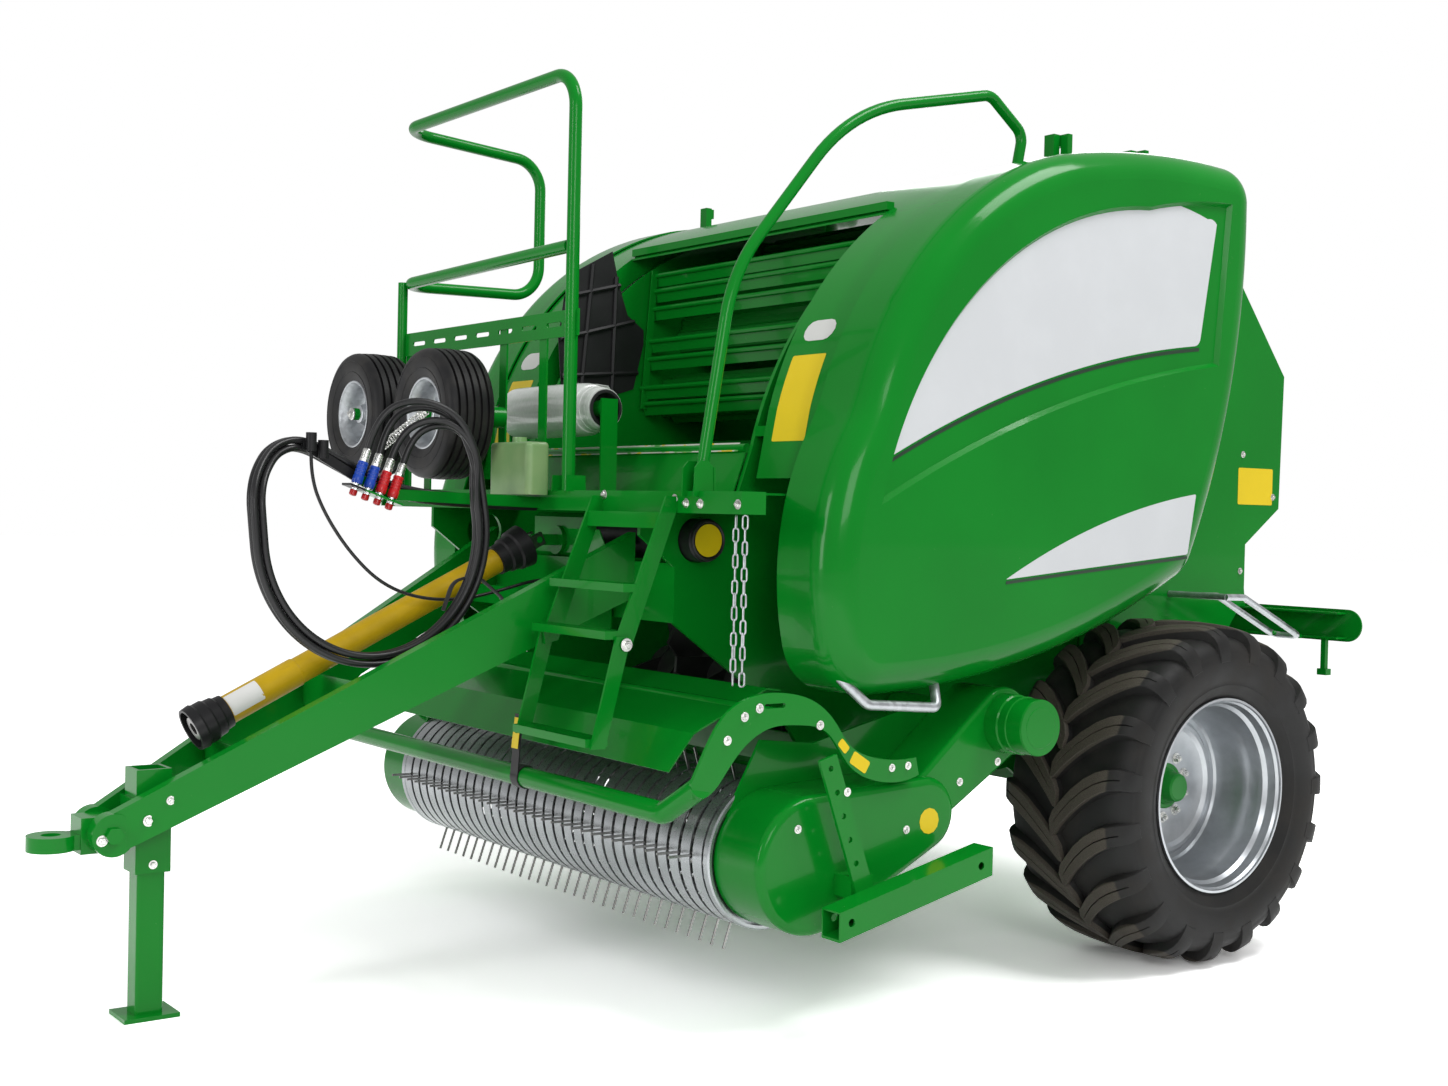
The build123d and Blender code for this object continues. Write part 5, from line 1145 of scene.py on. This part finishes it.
class BALER_OT_fittings(bpy.types.Operator):
    """Adds small parts that the CAD leaves out, from the dark inner cover to the ladder's top tread"""
    bl_idname = "baler.fittings"
    bl_label = "Fittings"

    def execute(self, context):
        for add in (self.inner_cover, self.chamber_rails, self.rail_feet, self.hook_bar, self.spring,
                    self.top_tread, self.end_bands, self.drive_cap, self.guard_strap):
            add()
        return {"FINISHED"}

    def inner_cover(self):
        """Dark ribbed lining on the right side plate in front of the chamber."""
        cover = Shape()
        cover.plate(across_x(COVER, COVER_X), (0.003, 0, 0))
        for y0, z0, y1, z1 in COVER_RIBS:
            cover.rod([at(-612, y0, z0), at(-612, y1, z1)], 0.011, 6, flat=0.8)
        cover.piece("inner_cover", "chassis", "black_plastic")

    def chamber_rails(self):
        """Green rails across the chamber's front, ahead of its rollers."""
        rails = Shape()
        for y, z in RAILS:
            rails.rod([at(-RAIL_HALF, y, z), at(RAIL_HALF, y, z)], 0.009, 10)
            rails.plate(places(((-RAIL_HALF, y + 4, z - 6), (RAIL_HALF, y + 4, z - 6),
                                (RAIL_HALF, y + 12, z - 40), (-RAIL_HALF, y + 12, z - 40))),
                        (0, 0.003, 0))
        for x, thickness in ((-596, 0.006), (596, -0.006)):
            rails.plate(across_x(((-942, 2275), (-966, 2275), (-1004, 1770), (-978, 1770)), x),
                        (thickness, 0, 0))
        rails.piece("chamber_rails", "chassis", "body_paint", slot="green")

    def rail_feet(self):
        """Bracket plates at the foot of the curved handrail and the looped one."""
        feet = Shape()
        for x, thickness in ((855, -0.005), (905, 0.005)):
            feet.plate(across_x(FOOT, x), (thickness, 0, 0))
        feet.plate(places(((848, -1770, 1440), (912, -1770, 1440), (912, -1774, 1520),
                           (848, -1774, 1520))), (0, 0.005, 0))
        for x in (170, 250):
            feet.plate(across_x(LOOP_FOOT, x), (0.005, 0, 0))
        feet.piece("rail_feet", "chassis", "body_paint", slot="green")

    def hook_bar(self):
        """The flat black bar that the drive shaft hangs on when it is parked."""
        bar = Shape()
        bar.rod(bent_route(across_x(HOOK, 152), 0.05, 8), 0.012, 8, flat=0.34)
        bar.bolt(at(158, -1952, 1018), (1, 0, 0), 0.009, 0.007, slot=1)
        bar.piece("shaft_hook", "chassis", "black_plastic", "zinc")

    def spring(self):
        """A coil spring between the hose holder and the rack."""
        start, end = at(20, -2330, 1560), at(-60, -2120, 1700)
        u, v = upright(end - start)
        coil = []
        for step in range(SPRING_TURNS * SPRING_STEPS + 1):
            share = step / (SPRING_TURNS * SPRING_STEPS)
            turn = math.tau * step / SPRING_STEPS
            coil.append(start.lerp(end, 0.08 + 0.84 * share)
                        + SPRING_RADIUS * (u * math.cos(turn) + v * math.sin(turn)))
        wire = Shape()
        wire.rod([start] + coil + [end], 0.0021, 6)
        wire.piece("holder_spring", "chassis", "zinc")

    def end_bands(self):
        """The last stripper band at each end of the reel, against the side plate."""
        bands = Shape()
        centre = at(0, -1560, 455)
        for _, side in SIDES:
            rings = []
            for step in range(49):
                turn = END_BAND_TURN * (step / 24 - 1)
                out = Vector((0, -math.cos(turn), math.sin(turn)))
                rings.append([centre + Vector((side * x, 0, 0)) + out * radius
                              for x, radius in metres(END_BAND)])
            bands.bridge(rings)
        bands.piece("end_bands", "pickup", "band_silver", slot="galvanised")

    def drive_cap(self):
        """The stepped cap over the end of the pick-up's drive."""
        cap = Shape()
        cap.lathe(metres(DRIVE_CAP), at(0, -830, 800), (1, 0, 0), 64, closed=True)
        cap.piece("drive_cap", "pickup", "body_paint", slot="green", sharp=24)

    def guard_strap(self):
        """A flat black strap with a blank label, clipped round the crop guard's tube."""
        strap = Shape()
        strap.plate(places(((258, -2008, 612), (300, -2008, 612), (312, -2002, 800),
                            (272, -2002, 800))), (0, 0.004, 0))
        strap.lathe([(-0.02, 0.0305), (-0.02, 0.034), (0.02, 0.034), (0.02, 0.0305)],
                    at(279, -1975, 615), (1, 0, 0), 32, closed=True)
        strap.plate(places(((266, -2009, 700), (303, -2009, 700), (309, -2004, 790),
                            (275, -2004, 790))), (0, -0.001, 0), 1)
        strap.piece("guard_strap", "pickup", "black_plastic", "label")

    def top_tread(self):
        """The top tread of the ladder and its folded front edge."""
        tread = Shape()
        tread.plate(places(((438, -1870, 1392), (802, -1870, 1392), (802, -1822, 1392),
                            (438, -1822, 1392))), (0, 0, 0.004))
        tread.plate(places(((438, -1874, 1352), (802, -1874, 1352), (802, -1870, 1396),
                            (438, -1870, 1396))), (0, 0.004, 0))
        tread.piece("ladder_top_tread", "chassis", "body_paint", slot="green")


# ---- hoses and cable ----

# Routes in millimetres. The couplers stand in a row along y in the holder's leaning plate.
COUPLER_PLACES = (-2440, -2403, -2366, -2329)
COUPLER_LEAN = math.radians(19)
COUPLER_TOP = 112
COIL_CENTRE, COIL_SQUASH = (170, -2410, 1320), 0.945
CABLE = ((92, -2570, 1545), (92, -2570, 1472), (97, -2530, 1372), (95, -2450, 1262), (92, -2350, 1172),
         (92, -2230, 1128), (94, -2090, 1122), (97, -1950, 1152), (100, -1830, 1185), (100, -1715, 1185))
LEAD = ((46, -1820.3, 1413), (46, -2060, 1415), (46, -2300, 1436), (46, -2460, 1512), (50, -2585, 1572),
        (74, -2672, 1548), (125, -2730, 1487), (160, -2757, 1420))
TAILS = (
    ((113, -2378, 1663), (140, -2265, 1710), (165, -2150, 1668), (181.5, -2096, 1560)),
    ((101, -2340, 1652), (112, -2232, 1694), (136, -2138, 1652), (158.5, -2098, 1550)),
    ((101, -2303, 1608), (140, -2219, 1656), (166, -2138, 1627), (183, -2089, 1544)),
    ((102, -2268, 1597), (124, -2196, 1640), (141, -2124, 1621), (141, -2082, 1556)),
)


def coupler_line(index):
    """Where a coupler passes through the holder's plate, and its direction up and rearwards."""
    y = COUPLER_PLACES[index]
    start = at(103, y, 1450 - (y - COUPLER_PLACES[0]) * math.tan(COUPLER_LEAN))
    return start, Vector((0, math.sin(COUPLER_LEAN), math.cos(COUPLER_LEAN)))


def in_lane(route, out, beside):
    """A route shifted into a lane of the bundle: so far outwards on the coil and so far along x."""
    shifted = []
    for index, point in enumerate(route):
        before, after = route[max(index - 1, 0)], route[min(index + 1, len(route) - 1)]
        along = (after - before).normalized()
        outwards = along.cross(Vector((1, 0, 0))).normalized()
        shifted.append(point + outwards * out + outwards.cross(along) * beside)
    return shifted


def hose_route(index, settings):
    """A hose from the platform, along the holder's arm, round the coil and down to its coupler."""
    out = settings.lane * (1, 1, -1, -1)[index]
    beside = settings.lane * (1, -1, 1, -1)[index]
    ring = [at(*COIL_CENTRE) + settings.coil_radius * Vector((0, COIL_SQUASH * math.cos(turn),
                                                              math.sin(turn)))
            for turn in (math.radians(176 + 20.4 * step) for step in range(11))]
    start, up = coupler_line(index)
    tail = places(reversed(TAILS[index])) + [start + up * COUPLER_TOP / 1000]
    return in_lane(places(LEAD) + ring, out, beside) + tail


def cord_curve(name, points, radius):
    """A cord as one NURBS spline along its route's points, with its start and its length."""
    curve = bpy.data.curves.new(name, "CURVE")
    curve.dimensions = "3D"
    spline = curve.splines.new("NURBS")
    spline.points.add(len(points) - 1)
    for place, point in zip(spline.points, points):
        place.co = (*point, 1)
    spline.order_u = 3
    spline.use_endpoint_u = True
    spline.resolution_u = 10
    made = bpy.data.objects.new(name, curve)
    bpy.context.scene.collection.objects.link(made)
    mesh = bpy.data.meshes.new_from_object(made)
    line = [vertex.co.copy() for vertex in mesh.vertices]
    bpy.data.meshes.remove(mesh)
    curve.bevel_depth = radius
    curve.bevel_resolution = 5
    curve.use_fill_caps = True
    curve.materials.append(finish_named("hose_rubber"))
    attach(made, "chassis")
    return made, tuple(line[0]), sum((b - a).length for a, b in zip(line, line[1:]))


class BALER_OT_hoses(bpy.types.Operator):
    """Lays the four hydraulic hoses with their couplers, and the control cable"""
    bl_idname = "baler.hoses"
    bl_label = "Hoses and couplers"

    def execute(self, context):
        settings = context.scene.baler_hose
        hoses = []
        for index, colour in enumerate(("blue_plastic", "blue_plastic", "red_plastic", "red_plastic")):
            coupler = coupler_shape(*coupler_line(index)).piece(
                f"coupler_{index}", "chassis", "zinc", "chrome", colour, "red_plastic", slot="steel",
                sharp=30)
            hose, start, length = cord_curve(f"hose_{index}", hose_route(index, settings),
                                             settings.hose_radius)
            hoses.append((hose, coupler))
        for hose, coupler in hoses:
            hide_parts("hose_lead", "hose_coil", "hose_tails")
            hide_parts("couplers")
        cable, start, length = cord_curve("control_cable_line", places(CABLE), settings.cable_radius)
        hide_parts("control_cable")
        return {"FINISHED"}


# The coupler's parts: outline in millimetres as (distance up, radius), sides and finish slot.
COUPLER_PARTS = (
    (((112, 0), (112, 11.3), (110, 12.4), (104, 12.4), (103, 11.6), (101, 11.6), (100, 12.4),
      (95, 12.4), (94, 11.6), (92, 11.6), (91, 12.4), (84, 12.4), (82, 10.6), (82, 0)), 28, 0),
    (((83, 0), (83, 13.2), (73.5, 13.2), (73.5, 0)), 6, 0),
    (((74, 0), (74, 13.6), (71, 15), (66, 15), (65, 14), (62, 14), (61, 15), (56, 15.6), (53, 14.2),
      (50, 14.2), (47, 15.6), (44, 14.2), (41, 14.2), (38, 15.6), (35, 14.2), (32, 14.2),
      (29, 15.6), (12, 15.6), (8, 14), (8, 0)), 32, 2),
    (((9, 0), (9, 12), (6.4, 12), (6.4, 10.5), (-10, 10.5), (-12, 9.6), (-12, 0)), 28, 1),
    (((-11, 0), (-11, 10.6), (-13, 11), (-24, 11), (-26.5, 9.5), (-28, 6), (-28, 0)), 28, 3),
)


def coupler_shape(start, up):
    """A push-in coupler: ferrule, nut, coloured sleeve, nose and a cap below the plate."""
    shape = Shape()
    for profile, sides, slot in COUPLER_PARTS:
        shape.lathe(metres(profile), start, up, sides, slot)
    return shape


# ---- paint on the CAD's own parts ----

class BALER_OT_paint(bpy.types.Operator):
    """Gives every CAD part that stays in view its finish"""
    bl_idname = "baler.paint"
    bl_label = "Paint"

    def execute(self, context):
        for finish, nodes in NODE_FINISHES.items():
            for name in nodes:
                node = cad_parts[name]
                if not node.material_slots:
                    node.data.materials.append(None)
                for slot in node.material_slots:
                    slot.material = finish_named(finish)
        return {"FINISHED"}


# ---- studio ----

FLOOR_HALF = 60
LIT_PLACE = Vector((0, 0.2, 1.2))
# Each light's place, its width and height, and its power as a part of the key setting.
LIGHTS = {
    "key": ((3.6, 2.6, 8.0), (3.6, 2.8), 1.15),
    "front": ((0.8, -8.5, 3.2), (1.6, 4.0), 0.5),
    "fill": ((7.5, -3.5, 4.0), (3.0, 2.4), 0.45),
    "rear": ((-4.5, 6.5, 5.0), (3.0, 3.0), 0.3),
}


def floor_sheet(material):
    """The floor under the machine, as part of the studio."""
    mesh = bpy.data.meshes.new("studio_floor")
    corners = ((-1, -1), (1, -1), (1, 1), (-1, 1))
    mesh.from_pydata([(x * FLOOR_HALF, y * FLOOR_HALF, 0) for x, y in corners], [], [(0, 1, 2, 3)])
    mesh.materials.append(material)
    made = bpy.data.objects.new("studio_floor", mesh)
    bpy.context.scene.collection.objects.link(made)


def make_floor(lift):
    """Pale matt floor, brighter where the camera or a reflection sees it."""
    s = Shader("studio_floor")
    matt = s.node("ShaderNodeBsdfDiffuse", inputs={"Color": (0.7, 0.7, 0.7, 1)})["BSDF"]
    pale = s.node("ShaderNodeBsdfDiffuse", inputs={"Color": (1.8, 1.8, 1.8, 1)})["BSDF"]
    glow = s.node("ShaderNodeEmission", inputs={"Color": (1, 1, 1, 1), "Strength": lift})["Emission"]
    bright = s.node("ShaderNodeAddShader", inputs={0: pale, 1: glow})[0]
    path = s.node("ShaderNodeLightPath")
    seen = path["Is Camera Ray"].sum("MAXIMUM", path["Is Glossy Ray"])
    both = s.node("ShaderNodeMixShader", inputs={0: seen, 1: matt, 2: bright})[0]
    s.node("ShaderNodeOutputMaterial", inputs={"Surface": both})
    return s.owner


def soft_light(name, place, size, power):
    """A rectangular light that looks at the machine's middle."""
    light = bpy.data.lights.new(name, "AREA")
    light.shape = "RECTANGLE"
    light.size, light.size_y = size
    light.energy = power
    light.spread = math.pi
    made = bpy.data.objects.new(name, light)
    made.location = place
    made.rotation_euler = (LIT_PLACE - made.location).to_track_quat("-Z", "Y").to_euler()
    bpy.context.scene.collection.objects.link(made)


class BALER_OT_studio(bpy.types.Operator):
    """Sets up the floor, the soft lights, the white surroundings and the camera"""
    bl_idname = "baler.studio"
    bl_label = "Studio"

    def execute(self, context):
        scene = context.scene
        settings = scene.baler_stage
        scene.view_settings.view_transform = "Standard"
        floor_sheet(make_floor(settings.floor_lift))
        scene.world = self.surroundings(settings.sky)
        for name, (place, size, share) in LIGHTS.items():
            soft_light(name, place, size, settings.key * share)
        self.camera(scene, settings)
        return {"FINISHED"}

    def surroundings(self, sky):
        """Even light all round, which the camera sees as white."""
        s = Shader("studio_world", "worlds")
        even, white = (s.node("ShaderNodeBackground", inputs={
            "Color": (1, 1, 1, 1), "Strength": strength})[0] for strength in (sky, 1.0))
        seen = s.node("ShaderNodeLightPath")["Is Camera Ray"]
        mix = s.node("ShaderNodeMixShader", inputs={0: seen, 1: even, 2: white})[0]
        s.node("ShaderNodeOutputWorld", inputs={"Surface": mix})
        return s.owner

    def camera(self, scene, settings):
        """The camera at the studio's viewing angle."""
        a, p, r = settings.azimuth, settings.pitch, settings.roll
        look = Vector((-math.sin(a) * math.cos(p), math.cos(a) * math.cos(p), -math.sin(p)))
        right = Vector((math.cos(a), math.sin(a), 0))
        up = right.cross(look)
        side = right * math.cos(r) + up * math.sin(r)
        top = up * math.cos(r) - right * math.sin(r)
        data = bpy.data.cameras.new("camera")
        data.sensor_width = 36
        data.lens = settings.lens
        data.clip_end = 200
        made = bpy.data.objects.new("camera", data)
        place = Vector(settings.eye) + Vector((0, AXLE_Y, 0))
        made.matrix_world = (Matrix.Translation(place)
                             @ Matrix((side, top, -look)).transposed().to_4x4())
        scene.collection.objects.link(made)
        scene.camera = made


# ---- add-on ----

STEPS = (BALER_OT_studio, BALER_OT_hoses, BALER_OT_paint, BALER_OT_tyres, BALER_OT_rims,
         BALER_OT_door_panels, BALER_OT_gauge_wheels, BALER_OT_wrap_roll, BALER_OT_chains,
         BALER_OT_tie_loops, BALER_OT_fasteners, BALER_OT_stickers, BALER_OT_fittings)


class BALER_PT_sidebar(bpy.types.Panel):
    """The steps and settings that make the round baler"""
    bl_idname = "BALER_PT_sidebar"
    bl_label = "Round baler"
    bl_space_type = "VIEW_3D"
    bl_region_type = "UI"
    bl_category = "Baler"

    def draw(self, context):
        scene = context.scene
        for step in STEPS:
            self.layout.operator(step.bl_idname)
        for group in (scene.baler_paint, scene.baler_tyre, scene.baler_hose, scene.baler_stage):
            box = self.layout.box()
            for key in group.bl_rna.properties.keys():
                if key not in ("rna_type", "name"):
                    box.prop(group, key)


CLASSES = (PaintSettings, TyreSettings, HoseSettings, StageSettings, *STEPS, BALER_PT_sidebar)
GROUPS = {"baler_paint": PaintSettings, "baler_tyre": TyreSettings, "baler_hose": HoseSettings,
          "baler_stage": StageSettings}


def register():
    for made in CLASSES:
        bpy.utils.register_class(made)
    for key, group in GROUPS.items():
        setattr(bpy.types.Scene, key, bpy.props.PointerProperty(type=group))


def unregister():
    for key in GROUPS:
        delattr(bpy.types.Scene, key)
    for made in reversed(CLASSES):
        bpy.utils.unregister_class(made)


def main():
    register()
    for step in STEPS:
        getattr(bpy.ops.baler, step.bl_idname.split(".")[1])()


if __name__ == "__main__":
    main()
